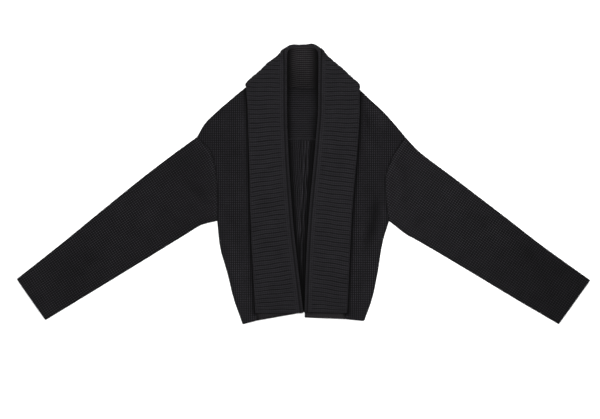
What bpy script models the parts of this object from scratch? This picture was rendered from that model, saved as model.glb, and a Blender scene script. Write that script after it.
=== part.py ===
"""A cropped, open-fronted cardigan in a heavy knit, laid out flat on its back.

It has a gathered lower back under a back yoke, two narrow fronts, two dropped sleeves and a broad
shawl collar. The collar is a stand and a ribbed fall, joined at a soft rolled border and turned
back over the fronts; at the shoulders it folds under, so behind the neck the fall lies lowest.

All tables and sizes are in millimetres: X to the right of the picture, Y from the hem to the neck,
Z up from the table. The origin is under the middle of the garment's outline. Left and right are as
seen in the picture.
"""

from collections import namedtuple

import bmesh
import bpy
import numpy as np
from mathutils import Vector

MM = 0.001

# The cloth
KNIT = 3.0  # wall of the back, fronts, sleeves and collar stand
COLLAR_KNIT = 3.5  # wall of the collar fall, without its ribs
FINE_RIB = 0.6  # height of the fine ribs of the body
FINE_PITCH = 5.8  # spacing of the fine ribs
COLLAR_RIB = 1.5  # height of the broad ribs of the fall
COLLAR_PITCH = 10.9  # spacing of the broad ribs
SEAM_GAP = 0.3
LAYER_GAP = 0.6  # air between two layers of cloth
SEAM_GROOVE = 0.8  # how far the cloth dips beside a flat seam

# How the layers lie
FRONT_BASE = KNIT + FINE_RIB + LAYER_GAP  # underside of the fronts and the stand on the chest
YOKE_LIFT = COLLAR_KNIT + 0.4  # the yoke climbs this far onto the fall behind the neck
NECK_LIFT = 4.1  # the fronts climb this much beside the neck
CLIMB = (188.0, 232.0)  # from this Y to this Y
CLIMB_ROWS = 6.0  # spacing of rows there
EDGE_LOW = 1.2  # the folded outer edge leaves the table by this much
EDGE_HIGH = 1.2  # and the front's edge is this thick at the seam
EDGE_ROUND = 5.0  # width of the rounding

# The collar
FREE_OVER_SEAM = 4.0  # the free edge of the fall covers the stand's seam by this much
RIB_START = 5.0  # the broad ribs rise over this distance beside the border
RIB_END = 2.5  # and sink over this distance at the free edge
FOLD_IN_X = 1 / 0.68  # a step square to the diagonal shoulder fold, measured in X
FOLD_IN_Y = 1 / 0.73  # and in Y
BELOW_FALL = 12.0  # at the right front's hem the stand shows below the fall by this much
BORDER_WIDTH = 15.5
BORDER_HALF = 5.0  # half the height of the soft roll
LIP = 6.7  # the fall wraps round the roll and ends this far in, where the stand begins
FALL_BASE = 4.0  # underside of the fall above the underside of the stand
SLEEVE_CROWN = 9.0  # height of a flattened sleeve at its middle
SLEEVE_SIDE = 7.0  # and beside its long edges
CAP_ROWS = 18  # the first half ribs of a sleeve, with closer points across

Seam = namedtuple("Seam", "y x")
Roll = namedtuple("Roll", "x y over_base turn scale")
Section = namedtuple("Section", "along top_x top_y under_x under_y")
Hem = namedtuple("Hem", "x y")
Climb = namedtuple("Climb", "y rise")
Border = namedtuple("Border", "inward over facing")
Gather = namedtuple("Gather", "at_seam at_hem width height")
Side = namedtuple("Side", "sign side armhole shoulder free_edge fold sleeve stand_rise hem_inner")

YOKE_SEAM = 112.0

LEFT = Side(
    sign=-1,
    side=(Seam(-350, -151), Seam(-285, -174), Seam(-225, -189), Seam(-150, -209), Seam(-92, -215)),
    armhole=(Seam(-92, -215), Seam(-40, -214), Seam(10, -216), Seam(77, -229), Seam(118, -265)),
    shoulder=(Seam(118, -265), Seam(150, -246), Seam(180, -216), Seam(210, -181), Seam(243, -141)),
    free_edge=(
        Seam(-341, -119.5),
        Seam(-92, -132),
        Seam(190, -139.5),
        Seam(225, -142.5),
        Seam(240, -143.5),
    ),
    fold=(Seam(347, -39), Seam(255, -139)),
    sleeve=(
        Section(0.00, -265, 118, -215, -92),
        Section(0.09, -304, 90, -262, -106),
        Section(0.24, -384, 30, -283, -119),
        Section(0.48, -496, -60, -403, -193),
        Section(0.74, -606, -150, -524, -267),
        Section(1.00, -716, -237, -644, -340),
    ),
    stand_rise=(
        Climb(-321, 20),
        Climb(-290, 18),
        Climb(-240, 15),
        Climb(60, 10),
        Climb(150, 4),
        Climb(205, 0),
    ),
    hem_inner=-341.0,
)
RIGHT = Side(
    sign=1,
    side=(Seam(-342, 151), Seam(-285, 171), Seam(-225, 184), Seam(-150, 196), Seam(-92, 213)),
    armhole=(Seam(-92, 213), Seam(-40, 206), Seam(10, 204), Seam(65, 221), Seam(118, 253)),
    shoulder=(Seam(118, 253), Seam(150, 226), Seam(180, 199), Seam(210, 166), Seam(237, 137.6)),
    free_edge=(Seam(-337, 108.3), Seam(-92, 120), Seam(200, 140), Seam(222, 140), Seam(240, 140)),
    fold=(Seam(347, 36), Seam(255, 134)),
    sleeve=(
        Section(0.00, 253, 118, 213, -92),
        Section(0.09, 296, 75, 258, -127),
        Section(0.24, 376, 15, 275, -136),
        Section(0.48, 494, -75, 403, -211),
        Section(0.74, 611, -165, 529, -287),
        Section(1.00, 716, -240, 637, -350),
    ),
    stand_rise=(
        Climb(-333, 4),
        Climb(-321, 8),
        Climb(-290, 12),
        Climb(60, 10),
        Climb(150, 4),
        Climb(205, 0),
    ),
    hem_inner=-337.0,
)
NECK_SEAM = (Seam(243, -141), Seam(237, 141))  # a straight seam
BACK_HEM = (Hem(-151, -349), Hem(-110, -337), Hem(0, -314), Hem(104, -331), Hem(151, -341))
HEM_ZONE = 60.0  # the slope of the hems fades out over this much

# The roll edge of the collar, up the left front, behind the neck and down the right front. It turns
# over by half a turn where it passes from the front layers to the back layers.
ROLL = (
    Roll(-0.2, -321, 5.0, 0, 1.0),
    Roll(-14.5, -200, 5.0, 0, 1.0),
    Roll(-26.0, -92, 5.0, 0, 1.0),
    Roll(-39.0, 112, 5.0, 0, 1.0),
    Roll(-41.0, 190, 5.0, 0, 1.0),
    Roll(-41.0, 250, 5.0, 0, 1.0),
    Roll(-41.0, 292, 5.0, 0, 1.0),
    Roll(-40.5, 328, 6.2, 30, 0.75),
    Roll(-35.0, 341, 4.8, 90, 0.6),
    Roll(-24.0, 347, -0.3, 150, 0.6),
    Roll(-2.0, 348.5, -3.3, 180, 0.7),
    Roll(19.0, 349, -0.3, 150, 0.6),
    Roll(30.5, 342, 4.8, 90, 0.6),
    Roll(36.5, 328, 6.2, 30, 0.75),
    Roll(37.0, 292, 5.0, 0, 1.0),
    Roll(36.5, 250, 5.0, 0, 1.0),
    Roll(36.0, 190, 5.0, 0, 1.0),
    Roll(30.5, 112, 5.0, 0, 1.0),
    Roll(12.0, -92, 5.0, 0, 1.0),
    Roll(6.0, -200, 5.0, 0, 1.0),
    Roll(2.2, -321, 5.0, 0, 1.0),
)
CORNERS = (7, 13)  # between these rows the roll turns over, and the fall has no ribs
TIPS = (228.0, 262.0)  # the shoulder tips, where the free edge turns under
TIP_EASE = 10.0  # the fold opens over this much beyond the neck seam
TURN_ROWS = 6.0  # spacing of rows where the collar turns
PLAIN_ROWS = 12.0  # spacing of plain rows where it climbs
LONG_ROWS = 60.0  # and down the fronts
TURN_ABOVE = 300.0  # the rows are turn rows above this Y, and long rows below the other one
LONG_BELOW = 138.0
FULL_BEND = 0.96  # how round the shoulder fold is, and how round the fold behind the neck
LOW_BEND = 0.55
NECK_TUCK = 6.0  # behind the neck the fold lies this much further under
BORDER_BLEND = 14.0  # a layer reaches its own height this far from the border
# Each rib of the fall climbs by this much from its free end to the roll.
RIB_RISE = (
    Climb(-321, 2),
    Climb(-290, 9),
    Climb(-240, 14),
    Climb(-92, 14),
    Climb(60, 10),
    Climb(150, 4),
    Climb(205, 0),
)

# The border's section, as two skins. An outer point faces the inner ones at the place counted there.
BORDER_OUTER = (
    Border(LIP, -5.0, 0.0),
    Border(2.0, -3.9, 1.2),
    Border(0.0, 0.0, 2.0),
    Border(2.0, 3.9, 2.6),
    Border(4.5, 5.0, 3.2),
    Border(9.0, 3.6, 4.0),
    Border(12.5, 4.9, 4.5),
    Border(BORDER_WIDTH, 3.6, 5.0),
)
BORDER_INNER = (
    Border(LIP, -2.0, 0.0),
    Border(4.2, -1.5, 1.0),
    Border(3.3, -0.4, 2.0),
    Border(4.4, 0.6, 3.0),
    Border(9.0, 1.0, 4.0),
    Border(BORDER_WIDTH, 0.8, 5.0),
)

# The soft upright folds gathered into the yoke seam, where the open fronts show them.
GATHERS = (
    Gather(-37, -22, 12, 1.6),
    Gather(-21, -12, 14, 2.4),
    Gather(-5, -3, 13, 2.0),
    Gather(9, 3, 10, 2.8),
    Gather(20, 8, 9, 2.2),
    Gather(33, 14, 12, 1.6),
)
GATHER_ZONE = 47.0  # fine ribs and gathers are raised this far either side of the middle

# Dull near-black yarn, a little lighter on the collar
YARN = (0.022, 0.021, 0.024, 1.0)
COLLAR_YARN = (0.027, 0.026, 0.029, 1.0)


class Curve:
    """A smooth curve through rows of (at, value) that never overshoots them."""

    def __init__(self, rows):
        rows = sorted((float(at), float(value)) for at, value in rows)
        self.at, self.value = np.array(rows).T
        slope = np.diff(self.value) / np.diff(self.at)
        self.tangent = np.concatenate([slope[:1], np.zeros(len(slope) - 1), slope[-1:]])
        for i, (before, after) in enumerate(zip(slope, slope[1:]), 1):
            if before * after > 0:
                self.tangent[i] = 2 * before * after / (before + after)

    def __call__(self, at):
        at = min(max(at, self.at[0]), self.at[-1])
        i = min(np.searchsorted(self.at, at, "right") - 1, len(self.at) - 2)
        span = self.at[i + 1] - self.at[i]
        t = (at - self.at[i]) / span
        return float(
            self.value[i] * (1 + 2 * t) * (1 - t) ** 2
            + self.value[i + 1] * (3 - 2 * t) * t**2
            + span * t * (1 - t) * (self.tangent[i] * (1 - t) - self.tangent[i + 1] * t)
        )


def lerp(a, b, t):
    return a + (b - a) * t


def smooth(low, high, x):
    t = min(max((x - low) / (high - low), 0.0), 1.0)
    return t * t * (3 - 2 * t)


def steps(low, high, spacing):
    """Evenly spaced values from low to high, about this far apart."""
    return list(np.linspace(low, high, max(2, round(abs(high - low) / spacing) + 1)))


class Wall:
    """A closed wall of cloth, put together from patches that share their borders."""

    def __init__(self):
        self.mesh = bmesh.new()

    def run(self, points):
        """A line of vertices."""
        return [self.mesh.verts.new(Vector(point) * MM) for point in points]

    def patch(self, rows):
        """Quads over a grid of points. Returns the grid of vertices."""
        grid = [self.run(row) for row in rows]
        for low, high in zip(grid, grid[1:]):
            for corners in zip(low, low[1:], high[1:], high):
                self.mesh.faces.new(corners)
        return grid

    def join(self, first, second, places=None):
        """Triangles between two lines of vertices, matched by their places or else by length."""
        places = places or (self.lengths(first), self.lengths(second))
        first_at, second_at = [self.share(at) for at in places]
        i = j = 0
        while i < len(first) - 1 or j < len(second) - 1:
            if j == len(second) - 1 or (i < len(first) - 1 and first_at[i + 1] <= second_at[j + 1]):
                self.mesh.faces.new((first[i], first[i + 1], second[j]))
                i += 1
            else:
                self.mesh.faces.new((first[i], second[j + 1], second[j]))
                j += 1

    @staticmethod
    def lengths(line):
        return np.concatenate([[0.0], np.cumsum([(b.co - a.co).length for a, b in zip(line, line[1:])])])

    @staticmethod
    def share(at):
        """Places along a line, as shares of the whole."""
        at = np.array(at, dtype=float)
        span = at[-1] - at[0]
        return (at - at[0]) / span if span else np.linspace(0, 1, len(at))

    def close(self, above, below):
        """Joins two skins along all four edges."""
        self.join(above[0], below[0])
        self.join(above[-1], below[-1])
        self.join(column(above, 0), column(below, 0))
        self.join(column(above, -1), column(below, -1))

    def finish(self, name, collection, material):
        """Welds the patches into one closed body and makes the object."""
        bmesh.ops.remove_doubles(self.mesh, verts=self.mesh.verts, dist=1e-6)
        bmesh.ops.triangulate(self.mesh, faces=self.mesh.faces)
        bmesh.ops.recalc_face_normals(self.mesh, faces=self.mesh.faces)
        data = bpy.data.meshes.new(name)
        self.mesh.to_mesh(data)
        self.mesh.free()
        data.shade_smooth()
        data.set_sharp_from_angle(angle=np.radians(50))
        data.materials.append(material)
        cloth = bpy.data.objects.new(name, data)
        collection.objects.link(cloth)
        return cloth


def column(grid, index):
    return [row[index] for row in grid]


def yarn(name, colour):
    """Matt knitted yarn."""
    material = bpy.data.materials.new(name)
    material.use_nodes = True
    shader = material.node_tree.nodes["Principled BSDF"]
    shader.inputs["Base Color"].default_value = colour
    shader.inputs["Roughness"].default_value = 0.95
    shader.inputs["Metallic"].default_value = 0.0
    material.diffuse_color = colour
    return material


# --- outlines ---------------------------------------------------------------------------------

SLEEVE_ACROSS = (0.0, 0.03, 0.13, 0.27, 0.45, 0.62, 0.79, 0.97, 1.0)
SEAM_HALF = 0.7 * SEAM_GAP  # each side of the armhole, in X: the seam runs partly slantwise


class Outline:
    """One side of the garment's outline, as X at a given Y."""

    def __init__(self, side):
        self.side = side
        self.sign = side.sign
        self.side_seam = Curve((place.y, place.x) for place in side.side)
        self.shoulder = Curve((place.y, place.x) for place in side.shoulder)
        armhole = Curve((place.y, place.x) for place in side.armhole)
        self.underarm, self.shoulder_point = side.armhole[0].y, side.armhole[-1].y
        ys = [lerp(self.shoulder_point, self.underarm, t) for t in SLEEVE_ACROSS]
        self.armhole = [(armhole(y), y) for y in ys]  # shoulder point first
        self.free_edge = Curve((place.y, place.x) for place in side.free_edge)
        self.neck_point = side.shoulder[-1].y

    def x(self, y):
        if y <= self.underarm:
            return self.side_seam(y)
        if y >= self.shoulder_point:
            return self.shoulder(y)
        xs, ys = zip(*reversed(self.armhole))
        return float(np.interp(y, ys, xs)) - self.sign * SEAM_HALF

    def at_armhole(self, y):
        """1 along the armhole, 0 along the side and shoulder seams."""
        inside = smooth(self.underarm - EDGE_ROUND, self.underarm + EDGE_ROUND, y)
        return inside * smooth(self.shoulder_point + EDGE_ROUND, self.shoulder_point - EDGE_ROUND, y)

    def stand_seam(self, y):
        return self.free_edge(y) - self.sign * FREE_OVER_SEAM

    def fold_x(self, y):
        """X of the diagonal shoulder fold of the collar."""
        top, foot = self.side.fold
        return lerp(top.x, foot.x, (top.y - min(y, top.y)) / (top.y - foot.y))


def neck_seam(x):
    left, right = NECK_SEAM
    return lerp(left.y, right.y, (x - left.x) / (right.x - left.x))


def front_base(y):
    """Underside of the fronts, which climb beside the neck."""
    return FRONT_BASE + NECK_LIFT * smooth(*CLIMB, y)


def yoke_base(y):
    """Underside of the yoke, which climbs onto the fall of the collar."""
    return YOKE_LIFT * smooth(*CLIMB, y)


def fine_ribs(low, high):
    """Furrows and ridges of the fine ribs between two places, with the height at each."""
    count = 2 * max(1, round(abs(high - low) / FINE_PITCH))
    return [(place, FINE_RIB * (i % 2)) for i, place in enumerate(np.linspace(low, high, count + 1))]


def body_rows(low, high, outlines, spacing):
    """Plain rows up the body. They meet the armholes' own points, so that the walls beside each
    other share an edge, and they come closer where the layers climb at the neck."""
    fixed = {low, high} | {y for outline in outlines for _, y in outline.armhole}
    fixed |= {outline.side.armhole[0].y for outline in outlines} | {CLIMB[0], CLIMB[1]}
    fixed = sorted(y for y in fixed if low <= y <= high)
    rows = [low]
    for before, after in zip(fixed, fixed[1:]):
        rows += steps(before, after, CLIMB_ROWS if before >= CLIMB[0] else spacing)[1:]
    return rows


# --- back -------------------------------------------------------------------------------------


def back_edge(outline, y):
    """Heights of both skins of the back at its outer edge: rounded up from the table, or dipped at
    the armhole seam."""
    seam = outline.at_armhole(y)
    return EDGE_LOW * (1 - seam), KNIT - SEAM_GROOVE * seam


def lower_back(outlines, collection, material):
    """The gathered lower back, with upright ribs and soft folds where the open fronts show it."""
    left, right = outlines
    hem = Curve(BACK_HEM)
    foot, top = -345.0, YOKE_SEAM - SEAM_GAP / 2
    roll_left = Curve((roll.y, roll.x) for roll in ROLL[:6])
    roll_right = Curve((roll.y, roll.x) for roll in ROLL[-6:])
    ribs = fine_ribs(-GATHER_ZONE, GATHER_ZONE)

    def gathered(x, y):
        """Height of the soft folds, which start at the seam and fade downwards and beside the rolls."""
        down = (top - y) / (top - foot)
        shown = smooth(0, 9, x - roll_left(y)) * smooth(0, 9, roll_right(y) - x)
        height = 0.0
        for fold in GATHERS:
            off = (x - lerp(fold.at_seam, fold.at_hem, down)) / (fold.width * lerp(0.5, 0.3, down))
            height += fold.height * max(0.0, 1 - off * off) ** 1.5
        return height * shown * (1 - 0.35 * down)

    def placed(y, xs, zs):
        fade = max(0.0, 1 - (y - foot) / HEM_ZONE)
        return [(x, y + (hem(x) - foot) * fade, z) for x, z in zip(xs, zs)]

    rows = body_rows(foot, top - 2.5, outlines, 36.0) + [top]

    def upper(y):
        a, b = left.x(y), right.x(y)
        raised = foot < y < top
        xs = [a, a + EDGE_ROUND, (a - GATHER_ZONE) / 2] + [x for x, _ in ribs]
        xs += [(b + GATHER_ZONE) / 2, b - EDGE_ROUND, b]
        shown = [KNIT + (rib + gathered(x, y)) * raised for x, rib in ribs]
        zs = [back_edge(left, y)[1], KNIT, KNIT] + shown + [KNIT, KNIT, back_edge(right, y)[1]]
        return placed(y, xs, zs)

    def under(y):
        a, b = left.x(y), right.x(y)
        xs = [a, a + EDGE_ROUND, -GATHER_ZONE, 0, GATHER_ZONE, b - EDGE_ROUND, b]
        return placed(y, xs, [back_edge(left, y)[0], 0, 0, 0, 0, 0, back_edge(right, y)[0]])

    wall = Wall()
    wall.close(wall.patch([upper(y) for y in rows]), wall.patch([under(y) for y in rows]))
    return wall.finish("lower_back", collection, material)


def back_yoke(outlines, collection, material):
    """The upper back, with fine cross ribs, climbing at the neck onto the fall of the collar."""
    left, right = outlines
    low, high = YOKE_SEAM + SEAM_GAP / 2, 240.0
    seam_ridge, seam_width = 0.9, 5.0
    inner = (0.3, 0.42, 0.58, 0.7)

    def placed(y, zs, across):
        """A row across, which gets nearer to the neck seam's slope as it gets nearer to it."""
        bend = ((y - low) / (high - low)) ** 4
        ends = [y + (outline.neck_point - SEAM_GAP / 2 - high) * bend for outline in outlines]
        a, b = left.x(ends[0]), right.x(ends[1])
        xs = [a, a + EDGE_ROUND] + [lerp(a, b, t) for t in across] + [b - EDGE_ROUND, b]
        return [(x, y + (neck_seam(x) - SEAM_GAP / 2 - high) * bend, z) for x, z in zip(xs, zs)]

    def upper(y, rib):
        base = yoke_base(y) + KNIT
        middle = base + rib * (y < high) + seam_ridge * (1 - smooth(0, seam_width, y - low))
        edges = [yoke_base(y) + back_edge(outline, y)[1] for outline in outlines]
        return placed(y, [edges[0], base] + [middle] * len(inner) + [base, edges[1]], inner)

    def under(y):
        base = yoke_base(y)
        edges = [base + back_edge(outline, y)[0] for outline in outlines]
        return placed(y, [edges[0], base, base, base, edges[1]], (0.5,))

    wall = Wall()
    above = wall.patch([upper(y, rib) for y, rib in fine_ribs(low, high)])
    wall.close(above, wall.patch([under(y) for y in body_rows(low, high, outlines, 16.0)]))
    return wall.finish("back_yoke", collection, material)


# --- fronts -----------------------------------------------------------------------------------


def front(outline, name, collection, material):
    """A narrow front. Its outer edge turns down to the back, its inner edge meets the collar stand."""
    sign = outline.sign
    hem, tip = outline.side.side[0].y, outline.neck_point - 1.0

    def placed(y, zs, across):
        """Points across at shares of the width. A share under 0 stands for the edge's rounding."""
        slope = (outline.side.hem_inner - hem) * max(0.0, 1 - (y - hem) / HEM_ZONE)
        a, b = outline.x(y), outline.stand_seam(y + slope) + sign * 1.5 * SEAM_GAP
        if (a - b) * sign < SEAM_GAP:
            b = a - sign * SEAM_GAP
        turn = min(EDGE_ROUND / abs(b - a), 0.4)
        shares = [turn if t < 0 else t for t in across]
        return [(lerp(a, b, t), y + slope * t, z) for t, z in zip(shares, zs)]

    def edges(y):
        """Both edges and the underside, from the top of the inner edge to the top of the outer one."""
        base, seam = front_base(y), outline.at_armhole(y)
        on_back = yoke_base(y) + KNIT + 1.5 * SEAM_GAP
        outer_low = lerp(on_back, base, seam)
        outer_high = lerp(on_back + EDGE_HIGH, base + KNIT - SEAM_GROOVE, seam)
        return placed(y, [base + KNIT, base, base, outer_low, outer_high], [1, 1, -1, 0, 0])

    def ribbed(y, rib):
        top = front_base(y) + KNIT + rib
        return placed(y, [top, top], [-1, 0.93])

    rows = body_rows(hem, tip, [outline], 36.0)
    ribs = fine_ribs(hem, tip)
    ribs[0], ribs[-1] = (hem, 0.0), (tip, 0.0)
    places = ([y for y, _ in ribs], rows)
    wall = Wall()
    around = wall.patch([edges(y) for y in rows])
    upper = wall.patch([ribbed(y, rib) for y, rib in ribs])
    wall.join(column(upper, 0), column(around, -1), places)
    wall.join(column(upper, 1), column(around, 0), places)
    for end in (0, -1):
        wall.join(upper[end][::-1] + [around[end][-1]], around[end][:-1])
    return wall.finish(name, collection, material)


# --- sleeves ----------------------------------------------------------------------------------


class Sleeve:
    """A flattened tube from the armhole to the cuff, with points at (along, across), each 0 to 1."""

    knots = (0.0, 0.03, 0.06, 0.09, 0.13, 0.18, 0.24, 0.32, 0.42, 0.53, 0.64, 0.76, 0.88, 1.0)
    slot_knots = (0.0, 0.09, 0.24, 0.53, 0.76, 1.0)

    def __init__(self, outline):
        rows = outline.side.sleeve
        edges = Section._fields[1:]
        self.edges = [Curve((row.along, getattr(row, edge)) for row in rows) for edge in edges]
        self.sign = outline.sign
        top, under = np.array(outline.armhole[0]), np.array(outline.armhole[-1])
        bow = [np.array(point) - lerp(top, under, t) for point, t in zip(outline.armhole, SLEEVE_ACROSS)]
        self.bow = np.array(bow).T
        middle = [self.smooth_plan(along, 0.5) for along in np.linspace(0, 1, 30)]
        self.length = sum(np.linalg.norm(b - a) for a, b in zip(middle, middle[1:]))

    def smooth_plan(self, along, across):
        top_x, top_y, under_x, under_y = (edge(along) for edge in self.edges)
        point = lerp(np.array([top_x, top_y]), np.array([under_x, under_y]), across)
        bow = np.array([np.interp(across, SLEEVE_ACROSS, part) for part in self.bow])
        seam = np.array([self.sign * SEAM_HALF * (along == 0), 0])
        return point + bow * max(0.0, 1 - along / 0.25) ** 2 + seam

    def point(self, along, across, z):
        """Straight between the knots, so that both skins share their edges."""
        i = min(np.searchsorted(self.knots, along, "right"), len(self.knots) - 1)
        before, after = self.knots[i - 1], self.knots[i]
        t = (along - before) / (after - before)
        x, y = lerp(self.smooth_plan(before, across), self.smooth_plan(after, across), t)
        return (x, y, z)

    def crown(self, along, across):
        """Height of the upper skin: pressed flat at the armhole, a little fuller further down."""
        fullness = smooth(0, 0.25, along) * (1 - 0.4 * smooth(0.8, 1.0, along))
        middle = 1 - abs(2 * across - 1) ** 2.5
        full = SLEEVE_SIDE + (SLEEVE_CROWN - SLEEVE_SIDE) * fullness * middle
        return lerp(FRONT_BASE + KNIT - SEAM_GROOVE, full, smooth(0, 0.05, along))


def sleeve(outline, name, collection, material):
    """One sleeve, hollow from armhole to cuff, with fine ribs across its upper skin."""
    shape = Sleeve(outline)
    edge_z = KNIT + SEAM_GAP
    slot_least = 0.6  # the least height of the hollow, and where its edges close
    halves = 2 * round(shape.length / FINE_PITCH)
    cap_across = SLEEVE_ACROSS[1:-1]
    main_across = (0.03, 0.45, 0.97)
    slot_across = (0.035, 0.13, 0.27, 0.45, 0.62, 0.79, 0.965)

    def upper(half, across):
        along = half / halves
        rib = FINE_RIB * (half % 2)
        return [shape.point(along, t, shape.crown(along, t) + rib) for t in across]

    def under(along):
        return [shape.point(along, t, edge_z if t in (0.0, 1.0) else 0.0) for t in SLEEVE_ACROSS]

    def hollow(along, top):
        heights = [KNIT] * len(slot_across)
        if top:
            heights = [max(shape.crown(along, t) - KNIT, KNIT + slot_least) for t in slot_across]
        heights[0] = heights[-1] = KNIT + slot_least / 2
        return [shape.point(along, t, z) for t, z in zip(slot_across, heights)]

    wall = Wall()
    cap = wall.patch([upper(half, cap_across) for half in range(CAP_ROWS + 1)])
    main = wall.patch([upper(half, main_across) for half in range(CAP_ROWS, halves + 1)])
    wall.join(cap[-1], main[0])
    below = wall.patch([under(along) for along in shape.knots])
    places = (range(halves + 1), shape.knots)
    for edge in (0, -1):
        wall.join(column(cap, edge) + column(main, edge)[1:], column(below, edge), places)
    roof = wall.patch([hollow(along, True) for along in shape.slot_knots])
    floor = wall.patch([hollow(along, False) for along in shape.slot_knots])
    for end, skin in ((0, cap), (-1, main)):
        edge_to_edge = [below[end][0]] + skin[end] + [below[end][-1]]
        wall.join(edge_to_edge, roof[end])
        wall.join(below[end], floor[end])
    return wall.finish(name, collection, material)


# --- collar -----------------------------------------------------------------------------------


class Skin:
    """One surface of a collar layer: its height on the fronts, its height behind the neck, how far
    inside the shoulder fold it turns, and where it ends beside the seam."""

    def __init__(self, over_base, behind, inset, over_seam):
        self.over_base = over_base
        self.behind = behind
        self.inset = inset
        self.over_seam = over_seam

    def front_z(self, y):
        return front_base(y) + self.over_base


FALL_OUTER = Skin(FALL_BASE + COLLAR_KNIT, 0.0, 0.0, FREE_OVER_SEAM)
FALL_INNER = Skin(FALL_BASE, COLLAR_KNIT, 3.5, FREE_OVER_SEAM)
STAND_OUTER = Skin(KNIT, YOKE_LIFT, 4.6, -SEAM_GAP / 2)
STAND_INNER = Skin(0.0, YOKE_LIFT + KNIT, 7.4, -SEAM_GAP / 2)


class Collar:
    """The run of the roll edge, and the rows of cloth that hang from it."""

    def __init__(self, outlines):
        self.left, self.right = outlines
        places = np.array([[roll.x, roll.y] for roll in ROLL])
        along = np.concatenate([[0.0], np.cumsum(np.linalg.norm(np.diff(places, axis=0), axis=1))])
        self.length = float(along[-1])
        self.curves = [Curve(zip(along, part)) for part in zip(*ROLL)]
        self.middle = float(along[len(ROLL) // 2])
        self.corners = [float(along[row]) for row in CORNERS]
        self.fall_rise = Curve(RIB_RISE)
        self.stand_rise = [Curve(outline.side.stand_rise) for outline in outlines]

    def at(self, s):
        """Roll edge point, direction away from the cloth, direction through the fall, turn, scale."""
        within = min(max(s, 0.0), self.length)
        x, y, over_base, turn, scale = (curve(within) for curve in self.curves)
        low, high = max(within - 1.0, 0.0), min(within + 1.0, self.length)
        tangent = np.array([curve(high) - curve(low) for curve in self.curves[:2]] + [0.0])
        tangent /= np.linalg.norm(tangent)
        level = np.array([tangent[1], -tangent[0], 0.0])
        angle = np.radians(turn)
        out = np.cos(angle) * level + np.sin(angle) * np.array([0, 0, 1.0])
        through = np.cross(out, tangent)
        edge = np.array([x, y, front_base(y) + over_base]) + tangent * (s - within)
        return edge, out, through, turn, scale

    def border(self, s, section):
        """Points of the border's section at s. Where it faces down it is pressed flat on the table."""
        edge, out, through, turn, scale = self.at(s)
        pressed = smooth(90, 180, turn)
        points = []
        for inward, over, _ in section:
            if over > 1:
                over = lerp(over, BORDER_HALF, pressed)
            point = edge - out * inward * scale + through * over
            point[2] = max(point[2], 0.0)
            points.append(point)
        return points

    def row(self, s, skin, start, short=0.0):
        """The cloth that starts from a point of the border at s: its run over the front, round the
        shoulder fold, and behind the neck, each a function of 0 to 1. It stops short of its edge."""
        edge, out, _, turn, _ = self.at(s)
        on_left = s < self.middle
        side = self.left if on_left else self.right
        sign = side.sign
        y = edge[1]
        front_z = skin.front_z(y)
        radius = (front_z - skin.behind) / 2
        fold_x = side.fold_x(y) - sign * skin.inset * FOLD_IN_X
        rise = self.fall_rise if skin.over_seam > 0 else self.stand_rise[0 if on_left else 1]
        end_y = y - rise(y)
        free = np.array([side.stand_seam(end_y) + sign * (max(skin.over_seam, 0) - short), end_y, front_z])
        fold_start_x = fold_x - sign * radius * FOLD_IN_X
        fold_start = np.array([sign * min(sign * fold_start_x, sign * free[0]), y, front_z])
        tip = neck_seam(free[0]) + 2 * SEAM_GAP
        folds = y > tip

        def inside(x):
            """Keeps the shoulder fold from reaching past the line of the free edge."""
            inset = skin.inset * smooth(0, 6, y - tip)
            return sign * min(sign * x, sign * side.free_edge(y) - inset)

        front_end = free
        if folds:
            clear = (fold_start[0] - start[0]) * sign
            front_end = lerp(fold_start, start, max(smooth(0, 30, turn), 1 - smooth(0, 12, clear)))
            front_end = lerp(free, front_end, smooth(0, TIP_EASE - 0.8 * skin.inset, y - tip))
            front_end[0] = inside(front_end[0])

        behind = smooth(0, 180, turn)
        under_x = inside(lerp(fold_x, edge[0], behind))
        under_y = y - (skin.inset + radius) * FOLD_IN_Y - NECK_TUCK * behind
        under = np.array([under_x, under_y, skin.behind])
        drop = max(front_end[2] - under[2], 1.0)
        handle = drop * lerp(FULL_BEND, LOW_BEND, smooth(0, 90, turn))
        leaving = lerp(np.array([sign, 0.0, 0.0]), -out, min(1.0, turn / 40.0))
        leaving = lerp(leaving, np.array([0.0, -1.0, 0.0]), smooth(60, 140, turn))
        bends = [front_end, front_end + leaving * handle, under + np.array([0, handle, 0.0]), under]
        bends[1][0] = inside(bends[1][0])
        seam = neck_seam(under_x)
        over_seam = lerp(-2 * SEAM_GAP, skin.over_seam, smooth(5, 30, abs(NECK_SEAM[0].x) - abs(under_x)))

        def bend(t):
            a, b, c, d = bends
            return a * (1 - t) ** 3 + 3 * b * t * (1 - t) ** 2 + 3 * c * t * t * (1 - t) + d * t**3

        turned = 1.0 if folds else 0.0
        while turned > 0.01 and bend(turned)[1] < seam + 2 * SEAM_GAP:
            turned -= 0.01

        def over_front(t):
            point = lerp(start, front_end, t)
            if not folds:
                from_border = t * np.linalg.norm(front_end - start)
                point[2] = lerp(start[2], front_z, smooth(0, BORDER_BLEND, from_border))
            return point

        def round_shoulder(t):
            return bend(t * turned) if folds else front_end.copy()

        def behind_neck(t):
            point = round_shoulder(1.0)
            if folds and turned > 0.99:
                point[1] = lerp(point[1], seam - over_seam + short, t)
            return point

        return over_front, round_shoulder, behind_neck


def at_tip(y):
    """Whether a row of the collar is near the shoulder tips, where its free edge turns under."""
    return TIPS[0] < y < TIPS[1]


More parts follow.
